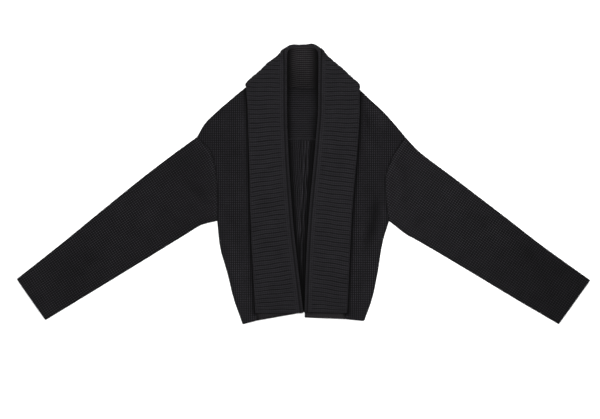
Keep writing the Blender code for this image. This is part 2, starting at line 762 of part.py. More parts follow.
def plain_stations(collar, at_tips=()):
    """Places along the roll for plain surfaces, closer together where the collar climbs and turns.
    Those at the shoulder tips can be given, so that they match those of another surface."""
    first, last = collar.corners

    def spacing(s):
        y = collar.at(s)[0][1]
        if y < LONG_BELOW:
            return LONG_ROWS
        return TURN_ROWS if at_tip(y) or y > TURN_ABOVE else PLAIN_ROWS

    left, right = [0.0], [collar.length]
    while left[-1] < first - 9:
        left.append(left[-1] + spacing(left[-1]))
    while right[-1] > last + 9:
        right.append(right[-1] - spacing(right[-1]))
    stations = left[:-1] + right[:-1] + [right[0]]
    if at_tips:
        stations = [s for s in stations if not at_tip(collar.at(s)[0][1])]
    return sorted(set(stations) | set(at_tips) | set(steps(first, last, TURN_ROWS)))


def rib_stations(collar):
    """Places along the roll of each furrow and both shoulders of each broad rib, with its height."""
    first, last = collar.corners
    stations = []
    for low, high in ((0.0, first), (last, collar.length)):
        ribs = round((high - low) / COLLAR_PITCH)
        for rib in range(ribs):
            furrow, *shoulders = [lerp(low, high, (rib + part) / ribs) for part in (0.0, 0.28, 0.74)]
            stations += [(furrow, 0.0)] + [(shoulder, COLLAR_RIB) for shoulder in shoulders]
        if low == 0.0:
            stations += [(place, 0.0) for place in steps(first, last, TURN_ROWS)[:-1]]
    return stations + [(collar.length, 0.0)]


def collar_fall(collar, collection, material):
    """The ribbed upper collar with its rolled border."""
    ribs = rib_stations(collar)
    plain = plain_stations(collar, [s for s, _ in ribs if at_tip(collar.at(s)[0][1])])
    wall = Wall()
    border = wall.patch([collar.border(s, BORDER_OUTER[:-1]) for s in plain])

    def ribbed(s, rib):
        start = collar.border(s, BORDER_OUTER)[-1]
        short = 0.0 if at_tip(collar.at(s)[0][1]) else RIB_END
        over_front, round_shoulder, behind_neck = collar.row(s, FALL_OUTER, start, short)
        span = max(np.linalg.norm(over_front(1.0) - start), 1.0)
        near = min(1.0, RIB_START / span)
        points = [over_front(t) for t in (0.0, near, 1.0)] + [round_shoulder(t) for t in (0.3, 0.65, 1.0)]
        for point, facing in zip(points, (0, 1, 1, 0.7, 0.2, 0)):
            point[2] += rib * (facing if span > RIB_START else facing * span / RIB_START)
        points.append(behind_neck(1.0))
        return [(x, y, max(z, 0.0)) for x, y, z in points]

    outer = wall.patch([ribbed(s, rib) for s, rib in ribs])

    def free_edge(s):
        start = collar.border(s, BORDER_OUTER)[-1]
        point = collar.row(s, FALL_OUTER, start)[2](1.0)
        return (point[0], point[1], max(point[2], 0.0))

    edge = wall.run([free_edge(s) for s in plain])

    def lining(s):
        points = collar.border(s, BORDER_INNER)
        over_front, round_shoulder, behind_neck = collar.row(s, FALL_INNER, points[-1])
        points += [over_front(t) for t in (0.3, 1.0)]
        points += [round_shoulder(t) for t in (0.35, 0.7, 1.0)]
        return points + [behind_neck(1.0)]

    inner = wall.patch([lining(s) for s in plain])
    places = (plain, [s for s, _ in ribs])
    wall.join(column(border, -1), column(outer, 0), places)
    wall.join(edge, column(outer, -1), places)
    wall.join(column(border, 0), column(inner, 0), (plain, plain))
    wall.join(edge, column(inner, -1), (plain, plain))
    facing = [[place.facing for place in section] for section in (BORDER_OUTER, BORDER_INNER)]
    hooks = len(BORDER_INNER)
    for end in (0, -1):
        wall.join(border[end] + outer[end][:1], inner[end][:hooks], facing)
        wall.join(outer[end] + [edge[end]], inner[end][hooks - 1 :])
    return wall.finish("collar_fall", collection, material)


def collar_stand(collar, collection, material):
    """The under collar, from the roll to the fronts and the yoke. Behind the neck it shows, and has
    fine ribs along it."""
    plain = plain_stations(collar)
    fall_end = collar.length + SEAM_GAP  # on the right, the stand goes on below the fall
    stations = plain + [fall_end, fall_end + SEAM_GAP / 2, collar.length + BELOW_FALL]
    rib_ends = list(np.linspace(0, 1, 33))[1:]

    def layer(s, skin, over, ribs):
        inward = LIP + 3 * SEAM_GAP if s <= fall_end else 1.0
        start = collar.border(s, [Border(inward, over, 0.0)])[0]
        over_front, round_shoulder, behind_neck = collar.row(s, skin, start)
        points = [over_front(t) for t in (0.0, 0.4, 1.0)] + [round_shoulder(t) for t in (0.4, 0.7, 1.0)]
        last = points[-1]
        for t, rib in ribs:
            point = behind_neck(t)
            point[2] += rib * (np.linalg.norm(point - last) > 0)
            points.append(point)
        return points

    wall = Wall()
    outer = wall.patch([layer(s, STAND_OUTER, -2.4, [(0.5, 0.0), (1.0, 0.0)]) for s in stations])
    ribs = [(t, FINE_RIB * (i % 2 == 0) * (0.1 < t < 1)) for i, t in enumerate(rib_ends)]
    inner = wall.patch([layer(s, STAND_INNER, -BORDER_HALF, ribs) for s in stations])
    wall.close(outer, inner)
    return wall.finish("collar_stand", collection, material)


def main():
    for item in list(bpy.data.objects):
        bpy.data.objects.remove(item)
    cardigan = bpy.data.collections.new("ribbed_cardigan")
    bpy.context.scene.collection.children.link(cardigan)
    body_yarn = yarn("near-black body yarn", YARN)
    collar_yarn = yarn("charcoal collar yarn", COLLAR_YARN)
    outlines = (Outline(LEFT), Outline(RIGHT))
    lower_back(outlines, cardigan, body_yarn)
    back_yoke(outlines, cardigan, body_yarn)
    for outline, word in zip(outlines, ("left", "right")):
        front(outline, f"front_{word}", cardigan, body_yarn)
        sleeve(outline, f"sleeve_{word}", cardigan, body_yarn)
    collar = Collar(outlines)
    collar_stand(collar, cardigan, collar_yarn)
    collar_fall(collar, cardigan, collar_yarn)


main()
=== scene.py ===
from collections import namedtuple

import bmesh
import bpy
import numpy as np
from mathutils import Matrix


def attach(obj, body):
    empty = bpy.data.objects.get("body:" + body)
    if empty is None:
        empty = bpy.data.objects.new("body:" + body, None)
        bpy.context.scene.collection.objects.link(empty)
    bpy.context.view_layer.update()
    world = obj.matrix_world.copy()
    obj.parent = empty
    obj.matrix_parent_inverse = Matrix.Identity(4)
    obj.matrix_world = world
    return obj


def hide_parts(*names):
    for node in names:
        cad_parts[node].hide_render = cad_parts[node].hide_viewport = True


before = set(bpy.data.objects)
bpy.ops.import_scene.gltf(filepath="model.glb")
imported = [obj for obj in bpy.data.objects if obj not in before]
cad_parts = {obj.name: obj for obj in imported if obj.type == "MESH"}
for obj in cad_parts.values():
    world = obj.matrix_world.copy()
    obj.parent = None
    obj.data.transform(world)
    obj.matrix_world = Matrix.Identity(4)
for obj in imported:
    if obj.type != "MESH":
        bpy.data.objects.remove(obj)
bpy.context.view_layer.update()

# --- The shot ---------------------------------------------------------------------------------
# The cardigan lies on a white table and is photographed from straight above. Large soft lamps and
# a white studio all round it leave almost no shadow. Sizes in this section are in metres.

MM = 0.001
VIEW_CENTRE = (-8.75 * MM, -63.75 * MM)  # the middle of the picture, on the table
VIEW_WIDTH = 1.5
CAMERA_HEIGHT = 4.0
SENSOR_MM = 36.0
STUDIO_BRIGHTNESS = 0.36
TABLE_HALF = 6.0
TABLE_DROP = 0.3 * MM  # keeps the table's top clear of the cloth that is pressed flat

camera_data = bpy.data.cameras.new("overhead camera")
camera_data.sensor_width = SENSOR_MM
camera_data.lens = SENSOR_MM * CAMERA_HEIGHT / VIEW_WIDTH
camera = bpy.data.objects.new("overhead camera", camera_data)
camera.location = (*VIEW_CENTRE, CAMERA_HEIGHT)
bpy.context.scene.collection.objects.link(camera)
bpy.context.scene.camera = camera
bpy.context.scene.view_settings.view_transform = "Standard"

Softbox = namedtuple("Softbox", "name x y z size watts")
for lamp in (
    Softbox("overhead softbox", 0.1, 0.15, 1.8, 1.1, 54.0),
    Softbox("left softbox", -4.0, 2.8, 3.2, 1.8, 125.0),
    Softbox("right softbox", 3.6, -0.8, 3.0, 2.2, 34.0),
):
    data = bpy.data.lights.new(lamp.name, "AREA")
    data.shape = "SQUARE"
    data.size = lamp.size
    data.energy = lamp.watts
    light = bpy.data.objects.new(lamp.name, data)
    light.location = (lamp.x, lamp.y, lamp.z)
    light.rotation_euler = (-light.location).to_track_quat("-Z", "Y").to_euler()
    bpy.context.scene.collection.objects.link(light)

world = bpy.data.worlds.new("white studio")
world.use_nodes = True
world.node_tree.nodes["Background"].inputs["Color"].default_value = (1.0, 1.0, 1.0, 1.0)
world.node_tree.nodes["Background"].inputs["Strength"].default_value = STUDIO_BRIGHTNESS
bpy.context.scene.world = world


def linear(hex_colour):
    """The linear colour of an sRGB hex value."""
    parts = [int(hex_colour[i : i + 2], 16) / 255 for i in (1, 3, 5)]
    return [c / 12.92 if c <= 0.04045 else ((c + 0.055) / 1.055) ** 2.4 for c in parts] + [1.0]


# White laminate, pressed with a matt face: it scatters the light evenly and shows no highlight.
table_finish = bpy.data.materials.new("white laminate table")
table_finish.use_nodes = True
table_shader = table_finish.node_tree.nodes["Principled BSDF"]
table_shader.inputs["Base Color"].default_value = linear("#F2F2F2")
table_shader.inputs["Roughness"].default_value = 0.8
table_mesh = bmesh.new()
bmesh.ops.create_grid(table_mesh, x_segments=1, y_segments=1, size=TABLE_HALF)
table_data = bpy.data.meshes.new("table")
table_mesh.to_mesh(table_data)
table_mesh.free()
table_data.materials.append(table_finish)
table = bpy.data.objects.new("table", table_data)
table_data.transform(Matrix.Translation((0, 0, -TABLE_DROP)))
bpy.context.scene.collection.objects.link(table)

# --- Lower back -------------------------------------------------------------------------------
# The lower back is one panel of upright rib, in a heavy carded wool mix that is steamed flat. It
# is gathered where it joins the yoke, and the soft folds show between the two sides of the collar.

KNIT = 3.0  # thickness of the body's cloth, in mm as all sizes from here on
RIB_PITCH = 5.8
RIB_HEIGHT = 0.9
PRESSED_RIB = 0.35  # height of the ribs on a face that lies on the table
SEAM_GAP = 0.3
SEAM_TURN = 1.6  # the lower face turns up by this much at a side or shoulder seam
ROUNDING = 6.0  # width of the rounding along folded and seamed edges
YOKE_SEAM = 112.0
BODY_REACH = 270.0  # half a width that takes in the whole body
OPENING = 50.0  # half the width in which the lower back shows between the fronts
BACK_FOOT = -345.0
HEM_ZONE = 60.0  # the slope of a hem fades out over this much
SEAM_CORNER = 5.0  # one kind of seam passes into the next within this much of their corner
BACK_ROW = 7.0  # spacing of the rows of points
HIDDEN_STEP = 20.0  # and of the columns under the fronts

Point = namedtuple("Point", "y x")
Outline = namedtuple("Outline", "sign side armhole shoulder")
LEFT = Outline(
    -1,
    side=(Point(-350, -151), Point(-285, -174), Point(-225, -189), Point(-150, -209), Point(-92, -215)),
    armhole=(Point(-92, -215), Point(-40, -214), Point(10, -216), Point(77, -229), Point(118, -265)),
    shoulder=(Point(118, -265), Point(150, -246), Point(180, -216), Point(210, -181), Point(243, -141)),
)
RIGHT = Outline(
    1,
    side=(Point(-342, 151), Point(-285, 171), Point(-225, 184), Point(-150, 196), Point(-92, 213)),
    armhole=(Point(-92, 213), Point(-40, 206), Point(10, 204), Point(65, 221), Point(118, 253)),
    shoulder=(Point(118, 253), Point(150, 226), Point(180, 199), Point(210, 166), Point(237, 137.6)),
)

# The roll edge of the collar, up the left front, behind the neck and down the right front: its
# height above the fronts, how far its section is turned over, in degrees, and the section's scale.
Roll = namedtuple("Roll", "x y over_base turn scale")
ROLL = (
    Roll(-0.2, -321, 5.0, 0, 1.0),
    Roll(-14.5, -200, 5.0, 0, 1.0),
    Roll(-26.0, -92, 5.0, 0, 1.0),
    Roll(-39.0, 112, 5.0, 0, 1.0),
    Roll(-41.0, 190, 5.0, 0, 1.0),
    Roll(-41.0, 250, 5.0, 0, 1.0),
    Roll(-41.0, 292, 5.0, 0, 1.0),
    Roll(-40.5, 328, 6.2, 30, 0.75),
    Roll(-35.0, 341, 4.8, 90, 0.6),
    Roll(-24.0, 347, -0.3, 150, 0.6),
    Roll(-2.0, 348.5, -3.3, 180, 0.7),
    Roll(19.0, 349, -0.3, 150, 0.6),
    Roll(30.5, 342, 4.8, 90, 0.6),
    Roll(36.5, 328, 6.2, 30, 0.75),
    Roll(37.0, 292, 5.0, 0, 1.0),
    Roll(36.5, 250, 5.0, 0, 1.0),
    Roll(36.0, 190, 5.0, 0, 1.0),
    Roll(30.5, 112, 5.0, 0, 1.0),
    Roll(12.0, -92, 5.0, 0, 1.0),
    Roll(6.0, -200, 5.0, 0, 1.0),
    Roll(2.2, -321, 5.0, 0, 1.0),
)
CHEST_ROWS = 5  # so many of its rows, from either end, run up the chest


class Curve:
    """A smooth curve through rows of (at, value) that never overshoots them."""

    def __init__(self, rows):
        self.at, self.value = np.array(sorted(tuple(row) for row in rows), dtype=float).T
        slope = np.diff(self.value) / np.diff(self.at)
        self.tangent = np.concatenate([slope[:1], np.zeros(len(slope) - 1), slope[-1:]])
        for i, (before, after) in enumerate(zip(slope, slope[1:]), 1):
            if before * after > 0:
                self.tangent[i] = 2 * before * after / (before + after)

    def __call__(self, at):
        at = np.clip(at, self.at[0], self.at[-1])
        i = np.clip(np.searchsorted(self.at, at, "right") - 1, 0, len(self.at) - 2)
        span = self.at[i + 1] - self.at[i]
        t = (at - self.at[i]) / span
        return (
            self.value[i] * (1 + 2 * t) * (1 - t) ** 2
            + self.value[i + 1] * (3 - 2 * t) * t**2
            + span * t * (1 - t) * (self.tangent[i] * (1 - t) - self.tangent[i + 1] * t)
        )


BACK_HEM = Curve(((-151, -349), (-110, -337), (0, -314), (104, -331), (151, -341)))
ROLL_LEFT = Curve((roll.y, roll.x) for roll in ROLL[:CHEST_ROWS])
ROLL_RIGHT = Curve((roll.y, roll.x) for roll in ROLL[-CHEST_ROWS:])


def lerp(a, b, t):
    """From a to b, as t goes from 0 to 1."""
    return a + (b - a) * t


def smooth(low, high, x):
    """0 up to low and 1 from high on, with a soft step between them."""
    t = np.clip((x - low) / (high - low), 0.0, 1.0)
    return t * t * (3 - 2 * t)


def bell(x):
    """1 at 0, and nearly 0 from 2 on, to either side."""
    return np.exp(-(x**2))


def rounded(e):
    """0 at an edge and 1 from ROUNDING inwards, along a quarter circle."""
    return np.sqrt(1 - (1 - np.clip(e / ROUNDING, 0, 1)) ** 2)


def ridges(at, pitch):
    """Rounded ridges with narrow furrows between them, 0 to 1."""
    return 1 - np.abs(2 * ((at / pitch) % 1.0) - 1) ** 2.6


def spread(low, high, spacing):
    """Evenly spaced places from low to high, about this far apart."""
    return np.linspace(low, high, max(2, int(round(abs(high - low) / spacing)) + 1))


def closed(grid, axis=1):
    """A grid with its first column, or row, once more at its end, which closes the ring."""
    return np.concatenate([grid, grid.take([0], axis=axis)], axis=axis)


def outline_x(outline, y):
    """X of the body's outer edge at Y: side seam, armhole, then shoulder."""
    side, armhole, shoulder = (Curve(points) for points in outline[1:])
    low, high = outline.armhole[0].y, outline.armhole[-1].y
    return np.where(y < low, side(y), np.where(y > high, shoulder(y), armhole(y)))


def held_inside(x, y):
    """X held inside the body's outer edges, and how far it is from the nearer edge."""
    low, high = outline_x(LEFT, y) + SEAM_GAP / 2, outline_x(RIGHT, y) - SEAM_GAP / 2
    x = np.clip(x, low, high)
    return x, np.minimum(x - low, high - x)


def beside_armhole(outline, y):
    """1 along the armhole, 0 along the side and shoulder seams."""
    low, high = outline.armhole[0].y, outline.armhole[-1].y
    above_side = smooth(low - SEAM_CORNER, low + SEAM_CORNER, y)
    return above_side * (1 - smooth(high - SEAM_CORNER, high + SEAM_CORNER, y))


def beside_either_armhole(x, y):
    """The same, for the armhole on the side where X is."""
    return np.maximum(beside_armhole(LEFT, y) * (x < 0), beside_armhole(RIGHT, y) * (x > 0))


SHADE = 0.9  # how dark the wool is in the shade right beside a raised layer, 0 to 1
ROLL_SHADE = (10.5, 15.0)  # the roll's shade reaches this far on the chest, and behind the neck
SHADE_WIDENS = (200.0, 300.0)  # between these Ys
UNDER_ROLL = (-14.0, -6.0)  # further in under the roll than this, the tone is left alone


def beside_roll(x, y):
    """The shade in the opening: 1 in the open, less beside either roll."""
    shade = 1.0
    reach = lerp(*ROLL_SHADE, smooth(*SHADE_WIDENS, y))
    for gap in (x - ROLL_LEFT(y), ROLL_RIGHT(y) - x):
        shade = shade * (1 - SHADE * bell(np.maximum(gap, 0.0) / reach) * smooth(*UNDER_ROLL, gap))
    return shade


def knitted(name, points, threads, painted_light, finish):
    """A closed wall of knitting from a grid of points. Each row runs once round the cloth, and the
    first and last rows are closed. Threads holds each point's place in the knitting, and
    painted_light the painted light and shade there, 0 to 1: darker in furrows, hollows and
    beside raised layers, lighter on ribs, creases and folds."""
    rows, columns = points.shape[:2]
    grid = bmesh.new()
    bmesh.ops.create_grid(grid, x_segments=columns - 1, y_segments=rows - 1, size=1.0)
    data = bpy.data.meshes.new(name)
    grid.to_mesh(data)
    grid.free()
    flat = np.empty(rows * columns * 3)
    data.vertices.foreach_get("co", flat)
    flat = flat.reshape(-1, 3)
    column = np.rint((flat[:, 0] + 1) / 2 * (columns - 1)).astype(int)
    row = np.rint((flat[:, 1] + 1) / 2 * (rows - 1)).astype(int)
    data.vertices.foreach_set("co", (points[row, column] * MM).ravel())
    corner = np.empty(len(data.loops), dtype=np.int32)
    data.loops.foreach_get("vertex_index", corner)
    painted_light = np.broadcast_to(painted_light, points.shape[:2]).astype(float)
    data.attributes.new("painted_light", "FLOAT", "POINT").data.foreach_set("value", painted_light[row, column])
    layer = data.uv_layers.new(name="knitting")
    layer.uv.foreach_set("vector", (threads[row, column] * MM)[corner].ravel())

    cloth = bmesh.new()
    cloth.from_mesh(data)
    bmesh.ops.remove_doubles(cloth, verts=cloth.verts, dist=1e-6)
    bmesh.ops.dissolve_degenerate(cloth, edges=cloth.edges, dist=1e-7)
    open_edges = [edge for edge in cloth.edges if edge.is_boundary]
    capped = bmesh.ops.holes_fill(cloth, edges=open_edges, sides=0)["faces"] if open_edges else []
    bmesh.ops.triangulate(cloth, faces=capped, ngon_method="EAR_CLIP")
    bmesh.ops.recalc_face_normals(cloth, faces=cloth.faces)
    cloth.to_mesh(data)
    cloth.free()
    data.shade_smooth()
    data.materials.append(finish)
    piece = bpy.data.objects.new(name, data)
    bpy.context.scene.collection.objects.link(piece)
    return piece


def add_node(tree, kind, inputs=None, **settings):
    """A node with its settings. Its inputs are given a value, or linked to a socket or a node."""
    node = tree.nodes.new("ShaderNode" + kind)
    for name, value in settings.items():
        setattr(node, name, value)
    for name, value in (inputs or {}).items():
        if isinstance(value, (bpy.types.Node, bpy.types.NodeSocket)):
            tree.links.new(getattr(value, "outputs", [value])[0], node.inputs[name])
        else:
            node.inputs[name].default_value = value
    return node


def wool(name, light, in_shade, wale, course, depth, loops, gap=0.6):
    """Carded wool mix, spun softly, knitted and steamed: the fibres scatter the light, so it is
    matt with no highlight. Each wale is a column of V-shaped stitches, wale wide and course high,
    in relief by depth, all in mm. Loops says how deep the painted shade in the gaps between the
    stitches is, 0 to 1, and gap how wide the gaps are. The colour is painted between light, the
    wool in full light, and in_shade, the wool in the deepest painted shade."""
    material = bpy.data.materials.new(name)
    material.use_nodes = True
    tree = material.node_tree
    shader = tree.nodes["Principled BSDF"]
    shader.inputs["Roughness"].default_value = 0.92
    shader.inputs["Specular IOR Level"].default_value = 0.03
    shader.inputs["Sheen Weight"].default_value = 0.01
    shader.inputs["Sheen Roughness"].default_value = 0.6

    # How far the legs of a V slant, in courses over the width of a wale.
    lean = 0.6
    place = add_node(tree, "UVMap", uv_map="knitting")
    split = add_node(tree, "SeparateXYZ", {"Vector": place})
    wales = add_node(tree, "Math", {0: split.outputs["X"], 1: wale * MM}, operation="DIVIDE")
    courses = add_node(tree, "Math", {0: split.outputs["Y"], 1: course * MM}, operation="DIVIDE")
    share = add_node(tree, "Math", {0: wales}, operation="FRACT")
    centred = add_node(tree, "Math", {0: share, 1: 0.5}, operation="SUBTRACT")
    off = add_node(tree, "Math", {0: centred}, operation="ABSOLUTE")
    slanted = add_node(tree, "Math", {0: off, 1: lean, 2: courses}, operation="MULTIPLY_ADD")
    half_turns = add_node(tree, "Math", {0: slanted, 1: float(np.pi)}, operation="MULTIPLY")
    wave = add_node(tree, "Math", {0: half_turns}, operation="SINE")
    loop = add_node(tree, "Math", {0: wave}, operation="ABSOLUTE")
    narrow = add_node(tree, "Math", {0: loop, 1: gap}, operation="POWER")
    quarter_turn = add_node(tree, "Math", {0: off, 1: float(np.pi)}, operation="MULTIPLY")
    leg = add_node(tree, "Math", {0: quarter_turn}, operation="COSINE")
    stitch = add_node(tree, "Math", {0: narrow, 1: leg}, operation="MULTIPLY")

    # The halo of fibres is drawn about 1.1 mm coarse, because real ones are too fine to show, and
    # the dye varies over some 30 mm.
    where = add_node(tree, "TexCoord").outputs["Object"]
    halo = {"Vector": where, "Scale": 900.0, "Detail": 3.0, "Roughness": 0.7}
    fibre = add_node(tree, "TexNoise", halo)
    patches = {"Vector": where, "Scale": 30.0, "Detail": 6.0, "Roughness": 0.75}
    dyed = add_node(tree, "TexNoise", patches)
    height = add_node(tree, "Math", {0: fibre, 1: 0.55, 2: stitch}, operation="MULTIPLY_ADD")
    bump = add_node(tree, "Bump", {"Strength": 0.8, "Distance": depth * MM, "Height": height})

    # Painted light and shade: the painted_light attribute, times painted shade in the gaps between the
    # stitches, times patches of dye, picks the colour between in_shade and light.
    raised = add_node(tree, "Attribute", attribute_name="painted_light").outputs["Fac"]
    lit = add_node(tree, "Math", {0: stitch, 1: loops, 2: (1 - loops) / 2}, operation="MULTIPLY_ADD")
    uneven = add_node(tree, "Math", {0: dyed, 1: 0.8, 2: 0.6}, operation="MULTIPLY_ADD")
    tone = add_node(tree, "Math", {0: raised, 1: lit}, operation="MULTIPLY")
    tone = add_node(tree, "Math", {0: tone, 1: uneven}, operation="MULTIPLY")
    colour = add_node(tree, "ValToRGB", {"Fac": tone})
    colour.color_ramp.elements[0].color = linear(in_shade)
    colour.color_ramp.elements[1].color = linear(light)
    tree.links.new(bump.outputs["Normal"], shader.inputs["Normal"])
    tree.links.new(colour.outputs["Color"], shader.inputs["Base Color"])
    return material


# The near-black wool as painted in full light, and as painted in the deepest shade.
BLACK, IN_PAINTED_SHADE = "#242326", "#020202"
# Ribbed knitting: near-black ribs that look soft and dry, with painted shade in the furrows between them.
body_wool = wool(
    "near-black carded wool, ribbed", BLACK, IN_PAINTED_SHADE, wale=RIB_PITCH, course=5.2, depth=0.5, loops=0.7
)

Gather = namedtuple("Gather", "at_seam at_hem width height")
GATHERS = (
    Gather(-26, -26, 18, 0.9),
    Gather(-14, -24, 18, 1.2),
    Gather(-3, -27, 7, 1.5),
    Gather(5, -26, 8.5, 2.6),
    Gather(13, -14, 8.5, 2.4),
    Gather(27, 8, 8, 0.8),
)
Sway = namedtuple("Sway", "amount down across")
SWAYS = (Sway(0.9, 16.0, 9.0), Sway(0.5, 8.5, 7.0))  # how the wales wander, in two waves
FOLD_HALF = (0.5, 0.42)  # half a fold's width as a share of it, at the seam and at the hem
FOLD_SINKS = 0.2  # the share of its height that a fold loses on the way to the hem
FOLD_TAKES = 0.6  # the cloth that a fold takes up, per mm of its height
GATHERED = 0.75  # width of a wale at the seam, as a share of its width at the hem
FOLD_FADE = 9.0  # the folds and their painted light and shade start over this much beside either roll
FOLDS_BELOW_SEAM, RIBS_BELOW_SEAM = 6.0, 3.0  # and below the yoke seam, where the ribs start too
SHADE_BETWEEN_FOLDS = 0.36  # painted shade: tone of the cloth between the folds
LIGHT_ON_FOLDS = 0.42  # and the painted light: how much lighter it is per mm that a fold stands up


def lower_back():
    top = YOKE_SEAM - SEAM_GAP / 2
    y = spread(BACK_FOOT, top, BACK_ROW)[:, None]
    down = (top - y) / (top - BACK_FOOT)
    hidden = spread(-BODY_REACH, -OPENING, HIDDEN_STEP), spread(OPENING, BODY_REACH, HIDDEN_STEP)
    shown = np.concatenate([hidden[0][:-1], spread(-OPENING, OPENING, RIB_PITCH / 6), hidden[1][1:]])

    x, _ = held_inside(shown[None, :], y)
    window = smooth(0, FOLD_FADE, x - ROLL_LEFT(y)) * smooth(0, FOLD_FADE, ROLL_RIGHT(y) - x)
    window = window * smooth(0, FOLDS_BELOW_SEAM, top - y)
    swaying = x
    for sway in SWAYS:
        swaying = swaying + sway.amount * np.sin(y / sway.down + x / sway.across)
    folds = np.zeros(x.shape)
    for fold in GATHERS:
        off = swaying - lerp(fold.at_seam, fold.at_hem, down)
        off = off / (fold.width * lerp(*FOLD_HALF, down))
        folds += fold.height * np.maximum(0.0, 1 - off * off) ** 1.5
    folds *= window * (1 - FOLD_SINKS * down)
    wale = (lerp(x, swaying, window) + folds * FOLD_TAKES) / lerp(GATHERED, 1.0, down)
    rib = ridges(wale, RIB_PITCH)
    raised = RIB_HEIGHT * rib * (np.abs(x) < OPENING) * smooth(0, RIBS_BELOW_SEAM, top - y)
    upper = KNIT + folds + raised

    x_under, edge = held_inside(spread(BODY_REACH, -BODY_REACH, RIB_PITCH / 5)[None, :], y)
    rib_under = ridges(x_under, RIB_PITCH)
    turned_up = SEAM_TURN * (1 - rounded(edge)) * (1 - beside_either_armhole(x_under, y))
    under = PRESSED_RIB * (1 - rib_under) + turned_up

    xs = np.concatenate([x, x_under], axis=1)
    zs = np.concatenate([upper, under], axis=1)
    ys = y + (BACK_HEM(xs) - BACK_FOOT) * np.maximum(0.0, 1 - (y - BACK_FOOT) / HEM_ZONE)
    points = closed(np.stack([xs, ys, zs], axis=2))
    threads = np.stack([closed(np.concatenate([wale, x_under], axis=1)), points[:, :, 1]], axis=2)
    # Painted light and shade: furrows between the ribs darker, shade beside the rolls, and the folds
    # lighter the higher they stand.
    lit = rib * beside_roll(x, y) * lerp(1.0, SHADE_BETWEEN_FOLDS + LIGHT_ON_FOLDS * folds, window)
    painted_light = closed(np.concatenate([lit, rib_under], axis=1))
    return knitted("lower_back_knit", points, threads, painted_light, body_wool)


back_piece = lower_back()
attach(back_piece, "root")
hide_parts("lower_back")

# --- Back yoke --------------------------------------------------------------------------------
# The yoke is the same wool knitted sideways, so its fine ribs run across. Its lower edge is linked
# over the gathers with a raised seam, and at the neck it lies on the free edge of the collar.

YOKE_PITCH = 5.4
YOKE_RIB = 0.7
YOKE_TOP = 240.0
YOKE_COLUMN = 9.0
YOKE_LIFT = 3.9  # behind the neck the yoke climbs onto the collar by this much
CLIMB = (188.0, 232.0)  # from this Y to this Y
NECK_SEAM = ((-141.0, 243.0), (141.0, 237.0))
LINKED_RIDGE = 0.9  # height of the linked edge
NECK_SHADE = 0.35  # below the neck seam the wool is darker by this share
NECK_SHADE_REACH = 24.0
YOKE_TONE = 0.93  # ribs that lie across catch a little less of the light


def yoke_base(y):
    return YOKE_LIFT * smooth(*CLIMB, y)


def neck_seam(x):
    """Y of the seam between the yoke and the collar."""
    (x0, y0), (x1, y1) = NECK_SEAM
    return lerp(y0, y1, (x - x0) / (x1 - x0))


# Fine sideways rib: near-black, and smoother to the eye than the upright rib, with thin lines.
yoke_wool = wool(
    "near-black carded wool, knitted sideways",
    BLACK,
    IN_PAINTED_SHADE,
    wale=YOKE_PITCH,
    course=5.2,
    depth=0.5,
    loops=0.35,
)


def back_yoke():
    low = YOKE_SEAM + SEAM_GAP / 2
    row = spread(low, YOKE_TOP, YOKE_PITCH / 6)[:, None]
    bend = ((row - low) / (YOKE_TOP - low)) ** 4
    outward, inward = (spread(side, -side, YOKE_COLUMN) for side in (-BODY_REACH, BODY_REACH))
    across = np.concatenate([outward, inward])[None, :]
    upper = np.arange(across.shape[1])[None, :] < len(outward)
    y = row + 0 * across
    for _ in range(2):
        x, edge = held_inside(across, y)
        y = row + (neck_seam(x) - SEAM_GAP / 2 - YOKE_TOP) * bend
    rib = ridges(row - low, YOKE_PITCH)
    seam = LINKED_RIDGE * (1 - smooth(0, 5, row - low))
    turned_up = SEAM_TURN * (1 - rounded(edge)) * (1 - beside_either_armhole(x, y))
    under = PRESSED_RIB * (1 - rib) + turned_up
    rib = rib * smooth(0, 2, YOKE_TOP - row)
    z = yoke_base(row) + np.where(upper, KNIT + YOKE_RIB * rib + seam, under)
    points = closed(np.stack([x, y, z], axis=2))
    threads = np.stack([row - low + 0 * points[:, :, 0], points[:, :, 0]], axis=2)
    # Painted light and shade: rib furrows darker, the raised linked edge lighter, shade beside the rolls
    # and below the neck seam.
    shade = beside_roll(x, y) * (1 - NECK_SHADE * bell((YOKE_TOP - row) / NECK_SHADE_REACH))
    lit = np.maximum(rib, seam) * np.where(upper, YOKE_TONE * shade, 1.0)
    return knitted("back_yoke_knit", points, threads, closed(lit), yoke_wool)


yoke_piece = back_yoke()
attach(yoke_piece, "root")
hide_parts("back_yoke")

# --- Fronts -----------------------------------------------------------------------------------
# Each front is a narrow panel of the same yarn in a close waffle knit, cut on a slant along the
# side and the shoulder. The side seam turns down to the back; the inner edge is under the collar.

WAFFLE_WALE = 5.3
WAFFLE_COURSE = 5.75
WALE_HEIGHT = 0.45
COURSE_HEIGHT = 0.42
LAYER_GAP = 0.6
RIB_ROOM = 0.6
FRONT_BASE = KNIT + RIB_ROOM + LAYER_GAP  # the fronts lie on the back, with room for its ribs
NECK_LIFT = 4.1  # beside the neck the fronts climb by this much
FREE_OVER_SEAM = 4.0  # the collar's free edge covers its seam to the front by this much
FRONT_WIDTH = (100.0, 268.0)  # X from under the collar to past the widest place
SIDE_EDGE = 0.5  # thickness of the front's edge at the side and shoulder seams
FRONT_DIP = 1.2  # the front sinks by this much towards the armhole's chain
CREASE_UNDER = 0.5  # its underside follows a raised crease by this share
THINNEST = 0.3  # and its cloth is nowhere thinner than this
CREASE_LIGHT = 0.2  # painted light: how much lighter the wool is painted per mm that a crease stands up, and darker per mm of a trough
WAFFLE_HOLLOW_SHADE = 0.33  # painted shade: tone in the waffle's hollows
WAFFLE_TOP_LIGHT = 0.6  # and the painted light: how much lighter it is on top
HIDDEN_TONE = 0.7
